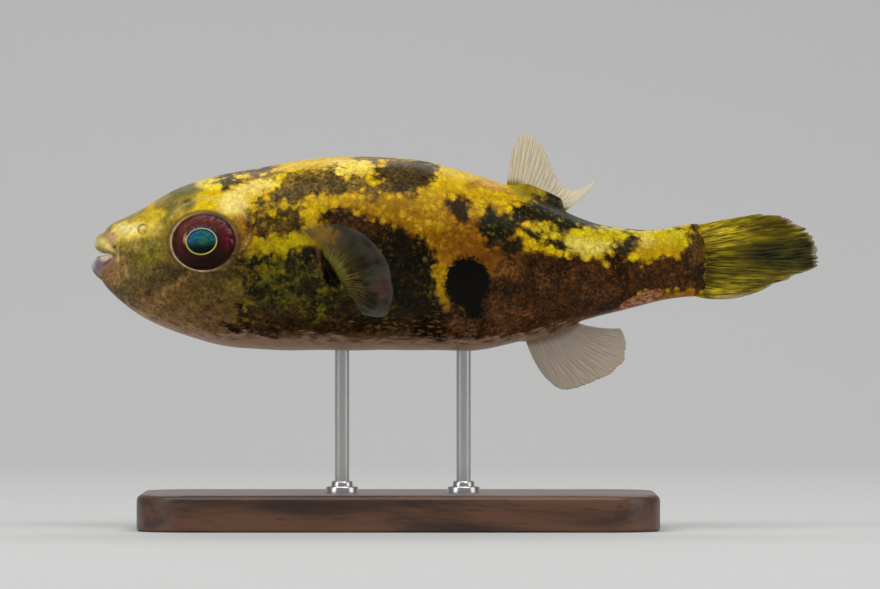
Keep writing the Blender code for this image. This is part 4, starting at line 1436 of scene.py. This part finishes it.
eye_look = new_look("eye")
cornea_look = new_look("clear cornea")
for side, tag in ((-1, "left"), (1, "right")):
    points, ball_faces, places = turned(eye_profile, side)
    eyeball = new_piece(f"eyeball_{tag}", points, ball_faces, eye_look, [f"eye_{tag}"])
    vertex_values(eyeball.data, "eye_place", "FLOAT_VECTOR", places)
    points, shell_faces, places = turned(cornea_profile, side)
    cornea = new_piece(f"cornea_{tag}", points, shell_faces, cornea_look, [])
    cornea.visible_shadow = False

# %% [markdown]
# ## Fins
# A puffer's fins are stiff little rays, each splitting towards its tip, with a skin between
# them thinner than paper. Casting them in clear resin is the museum's way. Each fin here is
# one closed sheet: two faces a few hundredths of a millimetre apart that swell over the rays,
# dipping into the body at the root so that no line shows there.

# %% A fin as a thin closed sheet
def smooth_path(points, t):
    """A smooth line through points, read at shares t of its length."""
    points = np.asarray(points, float)
    chord = np.concatenate([[0], np.cumsum(np.hypot(*np.diff(points, axis=0).T))])
    chord /= chord[-1]
    return [batten(chord, points[:, k], t) for k in range(2)]


def ray_ridge(phase, reach):
    """1 on a ray and 0 between: each ray splits in two past half its length."""
    off = np.abs(phase - np.round(phase))
    split = 0.17 * smoothstep(0.42, 0.8, reach)
    return bump(off - split, 0.15 - 0.06 * smoothstep(0.3, 0.9, reach))


# %% [markdown]
# ## The sheet itself
# Points run along the fin by ray and out from its root by reach. A worn edge comes from
# nicks between the rays and from slow waves, and the root swells where it enters the flesh.

# %% Fin sheet
def fin_sheet(
    name, place, rays, look, node_names, web=0.035, ray=0.09, rows=30, root=0.2, ragged=0.012
):
    """A closed sheet from place(t, r), which gives along, across and height for each point."""
    count = (rays - 1) * 8 + 1
    t, r = np.meshgrid(np.linspace(0, 1, count), np.linspace(0, 1, rows), indexing="ij")
    phase = t * (rays - 1)
    off = np.abs(phase - np.round(phase))
    nicks = 0.5 + 0.5 * np.sin(phase * 4.1 + 2.0 * np.sin(phase * 1.7))
    worn = ragged * (2 * off) ** 2 * nicks + ragged * (1 + np.sin(t * 23 + 2.5 * np.sin(t * 9)))
    worn += 0.5 * ragged * (1 + np.sin(t * 131 + 3 * np.sin(t * 37)))
    reach = r * (1 - worn * smoothstep(0.6, 1.0, r))
    sheet = np.stack(place(t, reach), axis=-1)
    facing = np.cross(np.gradient(sheet, axis=0), np.gradient(sheet, axis=1))
    facing /= np.maximum(np.linalg.norm(facing, axis=-1, keepdims=True), 1e-9)
    thick = web + (ray - web) * ray_ridge(phase, r) * (1 - 0.55 * r)
    thick = thick * (1 - 0.4 * smoothstep(0.9, 1, r)) + root * (1 - smoothstep(0.0, 0.3, r)) ** 2
    edge_soft = smoothstep(-0.01, 0.02, np.minimum(t, 1 - t)) * 0.7 + 0.3
    faces_up = sheet + facing * (thick * edge_soft)[..., None]
    faces_down = sheet - facing * (thick * edge_soft)[..., None]
    points = np.concatenate([faces_up.reshape(-1, 3), faces_down.reshape(-1, 3)])
    shift = count * rows
    faces = []
    for i in range(count - 1):
        for j in range(rows - 1):
            a, b, c, d = i * rows + j, (i + 1) * rows + j, (i + 1) * rows + j + 1, i * rows + j + 1
            faces.append((a, b, c, d))
            faces.append((a + shift, d + shift, c + shift, b + shift))
    rim = [i * rows for i in range(count)] + [(count - 1) * rows + j for j in range(1, rows)]
    rim += [i * rows + rows - 1 for i in range(count - 2, -1, -1)] + list(range(rows - 2, 0, -1))
    for a, b in zip(rim, rim[1:] + rim[:1]):
        faces.append((a, a + shift, b + shift, b))
    piece = new_piece(name, points, faces, look, node_names)
    both = np.tile(np.stack([phase, r, t], axis=-1).reshape(-1, 3), (2, 1))
    vertex_values(piece.data, "fin_place", "FLOAT_VECTOR", both)
    vertex_values(piece.data, "fish_place", "FLOAT_VECTOR", points)
    print(name, "with", rays, "rays:", len(points), "points")
    return piece


def fan(base, margin, bow):
    """Straight rays from a base line to a margin line, bowed sideways in their own plane."""

    def place(t, r):
        from_along, from_height = base(t)
        to_along, to_height = smooth_path(margin, t)
        dx, dy = to_along - from_along, to_height - from_height
        length = np.hypot(dx, dy)
        bend = 4 * r * (1 - r) * bow(t)
        return from_along + dx * r + dy / length * bend, from_height + dy * r - dx / length * bend

    return place


# %% [markdown]
# ## The five fins
# The upright fins stand on the back and behind the vent, the tail fin closes the body and
# the two oars grow from a fleshy stalk behind the gill opening. Their outlines are the
# construction model's own, so each stays inside the piece that it replaces.

# %% Outlines of the fins
fin_look = new_look("dorsal fin")
anal_look = new_look("anal fin")
tail_look = new_look("tail fin")
oar_look = new_look("pectoral fin")

dorsal_plane = fan(
    lambda t: (51.3 + 7 * t, measure("back", 51.3 + 7 * t) - 0.25),
    [(52.0, 25.0), (53.5, 27.0), (55.8, 25.3), (57.3, 21.8), (59.2, 20.0), (62.6, 21.4)],
    lambda t: 0.35 * t,
)
anal_plane = fan(
    lambda t: (53.6 + 6 * t, measure("belly", 53.6 + 6 * t) + 0.25),
    [(56.2, -3.4), (58.5, -4.9), (61.0, -4.4), (63.6, -3.2), (65.6, -1.6), (66.2, 0.6), (65.4, 2.8)],
    lambda t: 0.3,
)
tail_plane = fan(
    lambda t: (73.7, 15.3 - 8.3 * t),
    [(83, 17.0), (86.4, 16.5), (89.0, 15.4), (90.7, 12.6), (90.3, 10.9),
     (87.2, 9.3), (83.5, 7.7), (80.8, 6.8)],
    lambda t: 0.6 * t - 0.1,
)
oar_plane = fan(
    lambda t: (29.2 + 3.0 * t + 0.2 * np.sin(pi * t), 12.2 - 5.4 * t),
    [(26.4, 14.9), (31.2, 15.6), (35.6, 12.8), (37.4, 7.6), (36.6, 4.4), (33.6, 4.6)],
    lambda t: 0 * t,
)


# %% [markdown]
# ## Standing the fins up
# An upright fin leaves the middle plane by a small curl. An oar stands off its flank, near
# at the stalk and further at the rim, with a slow ripple over it.

# %% Make the fins
def upright(plane, across):
    def place(t, r):
        along, height = plane(t, r)
        return along, across(t, r), height

    return place


def oar(side):
    def place(t, r):
        along, height = oar_plane(t, r)
        off = 0.78 + 0.65 * (1 - r) ** 3 + 2.8 * r**2 - 1.9 * (1 - r) ** 14
        ripple = 0.10 * np.sin(t * 17 + 2 * r) * r
        return along, side * (flank(along, height) + off + ripple), height

    return place


fin_sheet("dorsal_fin_rays", upright(dorsal_plane, lambda t, r: 1.4 * r * r * t), 20,
          fin_look, ["dorsal_fin"], ray=0.06)
fin_sheet("anal_fin_rays", upright(anal_plane, lambda t, r: -0.9 * r * np.sin(pi * t)), 24,
          anal_look, ["anal_fin"], ray=0.06)
fin_sheet("tail_fin_rays", upright(tail_plane, lambda t, r: 0.7 * np.sin(pi * r) * np.sin(pi * t)), 12,
          tail_look, ["caudal_fin"], web=0.07, ray=0.18, root=0.42, rows=48, ragged=0.026)
for side, tag in ((-1, "left"), (1, "right")):
    fin_sheet(f"pectoral_{tag}_rays", oar(side), 15, oar_look, [f"pectoral_fin_{tag}"],
              root=0.45, web=0.025, ray=0.06)

# %% [markdown]
# ## The iris
# The iris is a deep maroon, redder above and behind and black at the bottom, with fine
# fibres that run out from the pupil and a small warm painted highlight in front of it. A greyish
# painted sheen lies over its top near the pupil, and a mottled painted reflection on its outer
# edge above and behind. All of it is drawn in the eyeball's own plane, so that it turns with the eye.

# %% Iris
pen = Pen(eye_look.node_tree)
place = pen.attribute("eye_place", "Vector")
parts = pen.node("SeparateXYZ", {}, Vector=place).outputs
flat = pen.stretched(place, (1.0, 1.0, 0.0))
far = pen.vector("LENGTH", flat)
aim_out = pen.vector("NORMALIZE", flat)
drawn_out = pen.vector("ADD", pen.shade(aim_out, 11.0), pen.shade(flat, 1.3))
fibres = pen.noise(drawn_out, 1.0, 3.0, 0.65)
mottle = pen.noise(place, 1.6, 3.0, 0.6)
up_share = pen.ramp(pen.times_plus(parts[0], -0.35, parts[1]), -3.2, 3.4)
iris = pen.mix(up_share, rgb(34, 13, 4), rgb(86, 36, 21))
front = pen.times(pen.ramp(parts[0], -1.8, -3.4), pen.ramp(parts[1], 2.4, 0.2))
iris = pen.mix(pen.times(front, 0.8), iris, rgb(48, 21, 8))
red_side = pen.times(pen.ramp(parts[0], 1.4, 3.0), pen.ramp(parts[1], -2.6, 0.4))
iris = pen.mix(pen.times(red_side, 0.75), iris, rgb(86, 13, 24))
iris = pen.mix(pen.times(pen.ramp(far, 3.0, 2.3), 0.8), iris, rgb(36, 13, 20))
loose = pen.vector("ADD", pen.shade(flat, 0.8), pen.shade(aim_out, 0.6))
streaks = pen.noise(loose, 1.6, 3.0)
rings = pen.math("SINE", pen.times_plus(far, 9.0, pen.times(streaks, 9.0)))
iris = pen.shade(iris, pen.times_plus(rings, 0.28, 1.02))
# A small warm painted highlight in front of the pupil.
glow = pen.ramp(pen.distance(flat, (-2.12, 0.5, 0.0), (2.5, 0.8, 0.0)), 0.95, 0.1)
iris = pen.mix(pen.times(glow, 0.6), iris, rgb(204, 150, 96))
# Painted sheen over the top of the iris near the pupil.
iris_sheen = pen.times(pen.ramp(parts[1], 1.2, 1.9), pen.ramp(far, 2.7, 2.1))
iris = pen.mix(pen.times(iris_sheen, pen.ramp(fibres, 0.4, 0.6)), iris, rgb(88, 76, 82))
# A mottled painted reflection on the iris's outer edge, above and behind.
iris_reflection = pen.ramp(pen.plus(parts[0], parts[1]), 1.6, 3.6)
iris_reflection = pen.times(iris_reflection, pen.ramp(far, 3.0, 3.6))
iris = pen.mix(pen.times(iris_reflection, pen.ramp(mottle, 0.45, 0.6)), iris, rgb(92, 72, 84))
to_lid = pen.vector("LENGTH", pen.stretched(flat, (1 / LID_WIDE, 0.93 / LID_TALL, 0.0)))
iris = pen.mix(pen.times(pen.ramp(to_lid, 3.4, 3.8), 0.6), iris, rgb(46, 20, 14))
base_dark = pen.ramp(pen.times_plus(parts[0], -0.35, parts[1]), -1.2, -3.2)
iris = pen.mix(pen.times(base_dark, 0.6), iris, rgb(24, 10, 5))
sparkle = pen.times_plus(fibres, 2.4, pen.times_plus(mottle, 1.4, -0.95))
iris = pen.shade(iris, pen.larger(sparkle, 0.2))
print("iris:", len(eye_look.node_tree.nodes), "nodes")

# %% [markdown]
# ## Pupil, rim and cornea
# The pupil of a live puffer glows teal where the sky is caught in it and is nearly black
# below. A thin brassy rim runs round it. The cornea is clear resin of a low index, so that
# it shines without bending the pupil out of its place.

# %% Pupil, rim and cornea
teal = pen.mix(pen.ramp(parts[1], -1.1, 0.9), rgb(3, 9, 6), rgb(30, 104, 104))
blue_at = pen.times_plus(parts[0], -0.8, pen.times(parts[1], 0.6))
teal = pen.mix(pen.times(pen.ramp(blue_at, 0.5, 1.7), 0.8), teal, rgb(34, 88, 138))
green_at = pen.distance(flat, (0.2, 0.1, 0.0))
teal = pen.mix(pen.times(pen.ramp(green_at, 0.9, 0.1), 0.6), teal, rgb(62, 104, 70))
teal = pen.shade(teal, pen.times_plus(pen.noise(place, 2.6, 3.0), 1.8, -0.15))
teal = pen.mix(pen.ramp(far, 1.6, 1.87), teal, rgb(5, 18, 26))
brass = pen.mix(pen.ramp(parts[1], -1.4, 1.2), rgb(184, 170, 54), rgb(156, 150, 120))
eye_colour = pen.mix(pen.ramp(far, PUPIL - 0.03, PUPIL + 0.02), teal, brass)
eye_colour = pen.mix(pen.ramp(far, RIM - 0.03, RIM + 0.03), eye_colour, iris)
pen.finish(Base_Color=eye_colour, Roughness=0.5, Specular_IOR_Level=0.06)
print("whole eye:", len(eye_look.node_tree.nodes), "nodes")
clear_pen = Pen(cornea_look.node_tree)
clear_pen.finish(Base_Color=(1, 1, 1), Transmission_Weight=1.0, Roughness=0.0, IOR=1.08)

# %% [markdown]
# ## Fin rays
# A ray is a stack of tiny joints that splits towards its tip. Light comes through the skin
# between rays and much less through the rays. This group reads a fin's own map, with the
# ray count one way and the reach from the root the other, and draws rays, joints and the
# fine grain that lies along them.

# %% Node group: fin rays
FIN_RAYS, pen, given, result = new_group(
    "fin rays",
    [("Place", "Vector", None), ("Thin", "Float", 1.0)],
    [(name, "Float") for name in ("Ray", "Joint", "Along Grain", "Reach", "Share")],
)
axes = pen.node("SeparateXYZ", {}, Vector=given["Place"]).outputs
nearest = pen.math("ROUND", axes[0])
off = pen.math("ABSOLUTE", pen.minus(axes[0], nearest))
split = pen.times(pen.ramp(axes[1], 0.42, 0.8), 0.17)
from_ray = pen.math("ABSOLUTE", pen.minus(off, split))
wide = pen.times(pen.ramp(axes[1], 0.3, 0.95, 0.17, 0.08), given["Thin"])
pen.put(result["Ray"], pen.minus(1.0, pen.ramp(pen.math("DIVIDE", from_ray, wide), 0.35, 1.25)))
joints = pen.math("SINE", pen.times_plus(axes[1], 110.0, pen.times(nearest, 2.1)))
pen.put(result["Joint"], pen.times_plus(joints, 0.5, 0.5))
lines = pen.stretched(given["Place"], (7.0, 2.2, 0.0))
pen.put(result["Along Grain"], pen.noise(lines, 1.0, 3.0, 0.6))
pen.put(result["Reach"], axes[1])
pen.put(result["Share"], axes[2])

# %% [markdown]
# ## The upright fins' look
# The dorsal and anal fins are like wet horn: half clear, with a fleshy foot in the body's own
# colour. One function makes both, since only their colours and their clearness differ.

# %% Dorsal and anal fins
def clear_fin(look, dull, bright, ray_dark, foot_dark, foot_bright, cover_low):
    """A half-clear fin with a fleshy foot, in a given set of colours."""
    pen = Pen(look.node_tree)
    rays = pen.group(FIN_RAYS, Place=pen.attribute("fin_place", "Vector"), Thin=0.58)
    web = pen.mix(pen.ramp(rays["Along Grain"], 0.35, 0.65), dull, bright)
    line = pen.mix(rays["Joint"], ray_dark, ray_dark * 1.3)
    colour = pen.mix(pen.times(rays["Ray"], 0.6), web, line)
    foot = pen.mix(pen.ramp(rays["Along Grain"], 0.4, 0.6), foot_dark, foot_bright)
    colour = pen.mix(pen.ramp(rays["Reach"], 0.24, 0.08), colour, foot)
    cover = pen.times_plus(rays["Along Grain"], 0.5, cover_low)
    cover = pen.times_plus(rays["Ray"], 0.16, cover)
    cover = pen.larger(cover, pen.ramp(rays["Reach"], 0.34, 0.06))
    cover = pen.math("MINIMUM", cover, 1.0)
    pen.finish(Base_Color=colour, Alpha=cover, Roughness=0.4, Specular_IOR_Level=0.3)


horn = (rgb(216, 200, 160), rgb(250, 238, 204), rgb(134, 112, 70))
clear_fin(fin_look, *horn, rgb(84, 72, 14), rgb(176, 160, 20), 0.36)
smoky_horn = (rgb(168, 148, 124), rgb(216, 198, 172), rgb(138, 120, 96))
clear_fin(anal_look, *smoky_horn, rgb(112, 86, 66), rgb(168, 142, 112), 0.42)

# %% [markdown]
# ## The oars' look
# A pectoral fin is almost clear at its rim and thick at its stalk, where olive flesh runs out
# along the rays. The stalk's colour is laid over the clear web by how far each point is from
# the root, and its cover fades the same way.

# %% Pectoral fins
pen = Pen(oar_look.node_tree)
rays = pen.group(FIN_RAYS, Place=pen.attribute("fin_place", "Vector"), Thin=0.8)
soft = pen.noise(pen.attribute("fish_place", "Vector"), 0.5, 2.0)
web = pen.mix(pen.ramp(soft, 0.35, 0.65), rgb(40, 40, 28), rgb(74, 68, 56))
fin_colour = pen.mix(pen.times(rays["Ray"], 0.35), web, rgb(84, 78, 54))
veil = pen.times(pen.ramp(rays["Share"], 0.42, 0.05), pen.ramp(rays["Reach"], 0.15, 0.5))
fin_colour = pen.mix(pen.times(veil, 0.7), fin_colour, rgb(120, 108, 74))
edge = pen.times(pen.ramp(rays["Reach"], 0.86, 1.0), 0.5)
fin_colour = pen.mix(edge, fin_colour, rgb(110, 108, 104))
blush_at = pen.distance(pen.attribute("fish_place", "Vector"), (36.2, 0.0, 7.5), (1.0, 0.0, 0.7))
fin_colour = pen.mix(pen.times(pen.ramp(blush_at, 1.3, 0.3), 0.6), fin_colour, rgb(112, 58, 62))
glow = pen.times(pen.ramp(rays["Share"], 0.50, 0.15), pen.ramp(rays["Reach"], 0.75, 0.4))
stalk = pen.mix(pen.ramp(rays["Along Grain"], 0.42, 0.66), rgb(42, 32, 9), rgb(108, 90, 22))
stalk = pen.mix(pen.times(glow, 0.7), stalk, rgb(122, 108, 54))
fin_colour = pen.mix(pen.ramp(rays["Reach"], 0.62, 0.30), fin_colour, stalk)
lobe_at = pen.times(pen.ramp(rays["Reach"], 0.20, 0.12), pen.ramp(rays["Share"], 0.8, 0.45))
lobe_at = pen.times(lobe_at, pen.ramp(rays["Along Grain"], 0.36, 0.5))
lobe = pen.mix(pen.ramp(rays["Along Grain"], 0.4, 0.7), rgb(92, 90, 18), rgb(144, 136, 42))
fin_colour = pen.mix(lobe_at, fin_colour, lobe)
cover = pen.times_plus(rays["Ray"], 0.08, pen.times_plus(soft, 0.8, 0.05))
faint = pen.times(pen.ramp(rays["Share"], 0.30, 0.05), pen.ramp(rays["Reach"], 0.25, 0.6))
cover = pen.times(cover, pen.times_plus(faint, -0.45, 1.0))
thick_part = pen.ramp(rays["Reach"], 0.66, 0.16)
thick_part = pen.times(thick_part, pen.ramp(rays["Along Grain"], 0.38, 0.60, 0.35, 1.0))
cover = pen.larger(cover, pen.larger(thick_part, pen.ramp(rays["Reach"], 0.26, 0.10)))
cover = pen.math("MINIMUM", cover, 1.0)
pen.finish(Base_Color=fin_colour, Alpha=cover, Roughness=0.4, Specular_IOR_Level=0.2)
print("pectoral fins:", len(oar_look.node_tree.nodes), "nodes")

# %% [markdown]
# ## The tail fin's look
# The tail fin is the one solid fin: yellow and olive streaks run along its rays, a sooty
# patch fills its tip, and its worn edge turns pale and thin. Noise drawn out along the rays
# makes the streaks, at two widths, so that none of them is ruled.

# %% Tail fin
SOOTY_TIP = (86.6, 0.0, 12.0)
DUSKY_TOP = (83.8, 0.0, 15.2)
pen = Pen(tail_look.node_tree)
fin_place = pen.attribute("fin_place", "Vector")
rays = pen.group(FIN_RAYS, Place=fin_place)
place = pen.attribute("fish_place", "Vector")
wide_lines = pen.noise(pen.stretched(fin_place, (1.1, 3.2, 0.0)), 1.0, 3.0, 0.6)
fine_lines = pen.noise(pen.stretched(fin_place, (6.5, 4.5, 0.0)), 1.0, 4.0, 0.65)
tail_colour = pen.mix(pen.ramp(fine_lines, 0.40, 0.59), rgb(72, 54, 12), rgb(176, 156, 18))
dim_lines = pen.times(pen.ramp(wide_lines, 0.56, 0.40), 0.7)
tail_colour = pen.mix(dim_lines, tail_colour, rgb(66, 58, 12))
straw_lines = pen.times(pen.ramp(fine_lines, 0.60, 0.70), 0.7)
tail_colour = pen.mix(straw_lines, tail_colour, rgb(200, 182, 96))
tail_colour = pen.mix(pen.times(rays["Ray"], 0.3), tail_colour, rgb(60, 46, 10))
# Painted light: the fin is made lighter at its top and its foot and darker between.
painted_light_foot = pen.times(pen.ramp(rays["Share"], 0.7, 0.95), 0.5)
painted_light = pen.plus(pen.ramp(rays["Share"], 0.48, 0.16), painted_light_foot)
painted_light = pen.times(painted_light, pen.ramp(rays["Reach"], 0.9, 0.55, 0.3, 1.0))
tail_colour = pen.shade(tail_colour, pen.times_plus(painted_light, 1.7, 0.75))
smoke_at = pen.distance(place, SOOTY_TIP, (0.17, 0.0, 0.56))
smoke_at = pen.plus(smoke_at, pen.times_plus(fine_lines, -1.6, 0.8))
smoke = pen.times_plus(wide_lines, -1.2, pen.plus(smoke_at, 0.6))
smoke = pen.ramp(smoke, 1.4, 0.7)
dusk_at = pen.distance(place, DUSKY_TOP, (0.36, 0.0, 0.9))
dusk_at = pen.times_plus(fine_lines, -1.6, pen.plus(dusk_at, 0.8))
dusk = pen.times(pen.ramp(dusk_at, 1.3, 0.7), 0.7)
tail_colour = pen.mix(dusk, tail_colour, rgb(58, 48, 10))
sooty = pen.mix(pen.ramp(fine_lines, 0.38, 0.62), rgb(15, 16, 3), rgb(74, 70, 26))
tail_colour = pen.mix(smoke, tail_colour, sooty)
root_dark = pen.times(pen.ramp(rays["Reach"], 0.36, 0.10), pen.ramp(fine_lines, 0.62, 0.42))
root_dark = pen.times(root_dark, pen.ramp(rays["Share"], 0.15, 0.4, 0.25, 1.0))
tail_colour = pen.mix(root_dark, tail_colour, rgb(48, 32, 10))
pale = pen.ramp(pen.times_plus(fine_lines, 0.14, rays["Reach"]), 1.02, 1.08)
pale_foot = pen.ramp(rays["Reach"], 0.35, 0.7, 0.0, 0.7)
pale_foot = pen.times(pale_foot, pen.ramp(rays["Share"], 0.89, 0.98))
pale = pen.larger(pale, pale_foot)
tail_colour = pen.mix(pale, tail_colour, rgb(170, 156, 124))
cover = pen.ramp(pen.times_plus(fine_lines, 0.18, rays["Reach"]), 1.02, 1.14, 0.98, 0.45)
pen.finish(Base_Color=tail_colour, Alpha=cover, Roughness=0.45, Specular_IOR_Level=0.1)
print("tail fin:", len(tail_look.node_tree.nodes), "nodes")

# %% [markdown]
# ## The stand
# A solid block of dark walnut and two polished steel rods: what a model maker would use. The
# block is cut with round corners and a small bevel, sanded and oiled. Each rod ends in a
# small collar so that it looks screwed down and not just stuck in.

# %% The wood block
base_low, base_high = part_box("stand_base")


def rounded_block(low, high, corner, bevel, steps=10):
    """Points and faces, in metres, of a block with round corners and bevelled rims."""
    height = high.z - low.z
    sections = [(0.0, bevel * 0.35), (bevel * 0.35, 0.0), (height - bevel, 0.0)]
    sections += [(height - bevel * (1 - sin(a)), bevel * (1 - cos(a))) for a in (0.3, 0.6, 0.9, 1.2, 1.5)]
    points = []
    for z, inset in sections:
        for cx, cy, start in (
            (high.x - corner, high.y - corner, 0.0), (low.x + corner, high.y - corner, pi / 2),
            (low.x + corner, low.y + corner, pi), (high.x - corner, low.y + corner, 3 * pi / 2),
        ):
            for k in range(steps + 1):
                a = start + k * pi / 2 / steps
                radius = corner - inset
                points.append((cx + radius * cos(a), cy + radius * sin(a), low.z + z))
    return points, capped_faces(len(sections), 4 * (steps + 1))


def from_metres(name, points, faces, look, nodes, flat=False):
    """A piece from points in metres."""
    mesh = bpy.data.meshes.new(name)
    mesh.from_pydata([tuple(p) for p in points], [], faces)
    mesh.shade_smooth()
    if flat:
        mesh.set_sharp_from_angle(angle=radians(40))
    mesh.materials.append(look)
    piece = bpy.data.objects.new(name, mesh)
    bpy.context.collection.objects.link(piece)
    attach(piece, "root")
    if nodes:
        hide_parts(*nodes)
    return piece


# %% [markdown]
# ## Walnut
# The grain is noise drawn out along the block and swayed by a slower noise, so that it wanders
# like real growth rings. Fine dark pores lie along it and are felt a little in the finish.

# %% Walnut
wood_look = new_look("oiled walnut")
points, block_faces = rounded_block(base_low, base_high, 7 * MM, 0.8 * MM)
from_metres("walnut_block", points, block_faces, wood_look, ["stand_base"], flat=True)

pen = Pen(wood_look.node_tree)
metres = pen.node("TexCoord").outputs["Object"]
grain_place = pen.stretched(metres, (26.0, 340.0, 340.0))
sway = pen.noise(pen.stretched(metres, (14.0, 40.0, 40.0)), 1.0, 2.0, out="Color")
sway = pen.vector("SCALE", sway, scale=5.0)
rings = pen.noise(pen.vector("ADD", grain_place, sway), 1.0, 4.0, 0.55)
pores = pen.noise(pen.stretched(metres, (260.0, 2600.0, 2600.0)), 1.0, 2.0)
wood = pen.mix(pen.ramp(rings, 0.36, 0.64), rgb(52, 31, 20), rgb(104, 68, 44))
wood = pen.mix(pen.times(pen.ramp(pores, 0.62, 0.74), 0.6), wood, rgb(34, 20, 13))
raised = pen.node("Bump", {}, Strength=0.25, Distance=0.00008, Height=pores)
pen.finish(Base_Color=wood, Roughness=0.4, Coat_Weight=0.15, Normal=raised.outputs[0])
print("walnut:", len(wood_look.node_tree.nodes), "nodes")

# %% [markdown]
# ## Rods
# Two polished steel rods carry the fish under its belly, each with a small turned collar
# where it meets the wood. They are turned from one profile, like work on a lathe.

# %% The rods
steel_look = new_look("polished steel")
Pen(steel_look.node_tree).finish(Base_Color=(0.62, 0.61, 0.59), Metallic=1.0, Roughness=0.22)


def turned_rod(low, high, foot):
    """A rod with a small collar at its foot, as points and faces in metres."""
    middle = (low + high) / 2
    radius = (high.x - low.x) / 2
    profile = [(0.0, low.z), (radius, low.z), (radius, foot - 0.1 * MM), (2.0 * MM, foot - 0.1 * MM)]
    profile += [(2.0 * MM, foot + 0.55 * MM), (1.9 * MM, foot + 0.7 * MM), (1.35 * MM, foot + 0.8 * MM)]
    profile += [(1.3 * MM, foot + 1.3 * MM), (1.2 * MM, foot + 1.4 * MM), (radius, foot + 1.4 * MM)]
    profile += [(radius, high.z), (0.0, high.z)]
    around = 32
    points = []
    for r, z in profile:
        for k in range(around):
            a = 2 * pi * k / around
            points.append((middle.x + max(r, 1e-6) * cos(a), middle.y + max(r, 1e-6) * sin(a), z))
    return points, capped_faces(len(profile), around)


for tag in ("front", "rear"):
    low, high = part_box(f"stand_rod_{tag}")
    points, rod_faces = turned_rod(low, high, base_high.z)
    node = f"stand_rod_{tag}"
    from_metres(f"steel_rod_{tag}", points, rod_faces, steel_look, [node], flat=True)

# %% [markdown]
# ## Light
# Four soft boxes and a dim sky light the model evenly. The widest hangs over its left side,
# which gives the back its sheen; the others only fill the shadows and draw the rim.

# %% Lights
def area_light(name, place, target, size, power_w, color=(1, 1, 1)):
    data = bpy.data.lights.new(name, "AREA")
    data.shape = "RECTANGLE"
    data.size, data.size_y = size
    data.energy = power_w
    data.color = color
    lamp = bpy.data.objects.new(name, data)
    lamp.location = place
    lamp.rotation_euler = (Vector(target) - Vector(place)).to_track_quat("-Z", "Y").to_euler()
    bpy.context.collection.objects.link(lamp)
    return lamp


middle = Vector((0, 0, 0.03))
area_light("top softbox", (-0.06, -0.22, 0.52), middle, (0.95, 0.34), 2.5)
area_light("side softbox", (-0.65, -0.35, 0.30), middle, (0.35, 0.45), 0.9)
area_light("far softbox", (0.6, -0.2, 0.25), middle, (0.35, 0.45), 0.6)
area_light("rim softbox", (0.05, 0.38, 0.40), middle, (0.5, 0.2), 0.7)
world = bpy.data.worlds.new("room")
world.use_nodes = True
world.node_tree.nodes["Background"].inputs["Color"].default_value = (0.9, 0.92, 1.0, 1)
world.node_tree.nodes["Background"].inputs["Strength"].default_value = 0.28
bpy.context.scene.world = world

# %% [markdown]
# ## Floor
# A pale floor sweeps up behind the model like a roll of paper. Seen from behind it is clear,
# so that a view from the back isn't hidden by it.

# %% Floor
floor_mesh = bpy.data.meshes.new("floor")
bm = bmesh.new()
profile = [(-5.0, 0.0), (0.35, 0.0)]
profile += [(0.35 + 0.25 * sin(a), 0.25 - 0.25 * cos(a)) for a in np.linspace(0.1, pi / 2, 12)]
profile += [(0.60, 1.2)]
rows = [[bm.verts.new((x, y, z)) for x in (-5.0, 5.0)] for y, z in profile]
for a, b in zip(rows, rows[1:]):
    bm.faces.new((a[0], a[1], b[1], b[0]))
bm.to_mesh(floor_mesh)
bm.free()
floor_mesh.shade_smooth()
floor = bpy.data.objects.new("floor", floor_mesh)
floor_look = new_look("pale floor")
pen = Pen(floor_look.node_tree)
from_behind = pen.node("NewGeometry", {}).outputs["Backfacing"]
pen.finish(Base_Color=(0.62, 0.62, 0.60), Roughness=0.7, Alpha=pen.minus(1.0, from_behind))
floor_mesh.materials.append(floor_look)
bpy.context.collection.objects.link(floor)

# %% [markdown]
# ## Camera
# A long lens a metre away looks at the fish square from its left, so that side view and
# model agree everywhere.

# %% Camera
CAMERA_AWAY = 1.0
SENSOR_WIDTH = 36.0
VIEW_WIDTH = 108.64 * MM
VIEW_MIDDLE = (43.09, 0, 6.98)
camera_data = bpy.data.cameras.new("camera")
camera_data.sensor_width = SENSOR_WIDTH
camera_data.lens = SENSOR_WIDTH * CAMERA_AWAY / VIEW_WIDTH
camera = bpy.data.objects.new("camera", camera_data)
aim = to_world(*VIEW_MIDDLE)
camera.location = (aim[0], -CAMERA_AWAY, aim[2])
camera.rotation_euler = (pi / 2, 0, 0)
bpy.context.collection.objects.link(camera)
bpy.context.scene.camera = camera
bpy.context.scene.view_settings.view_transform = "Standard"
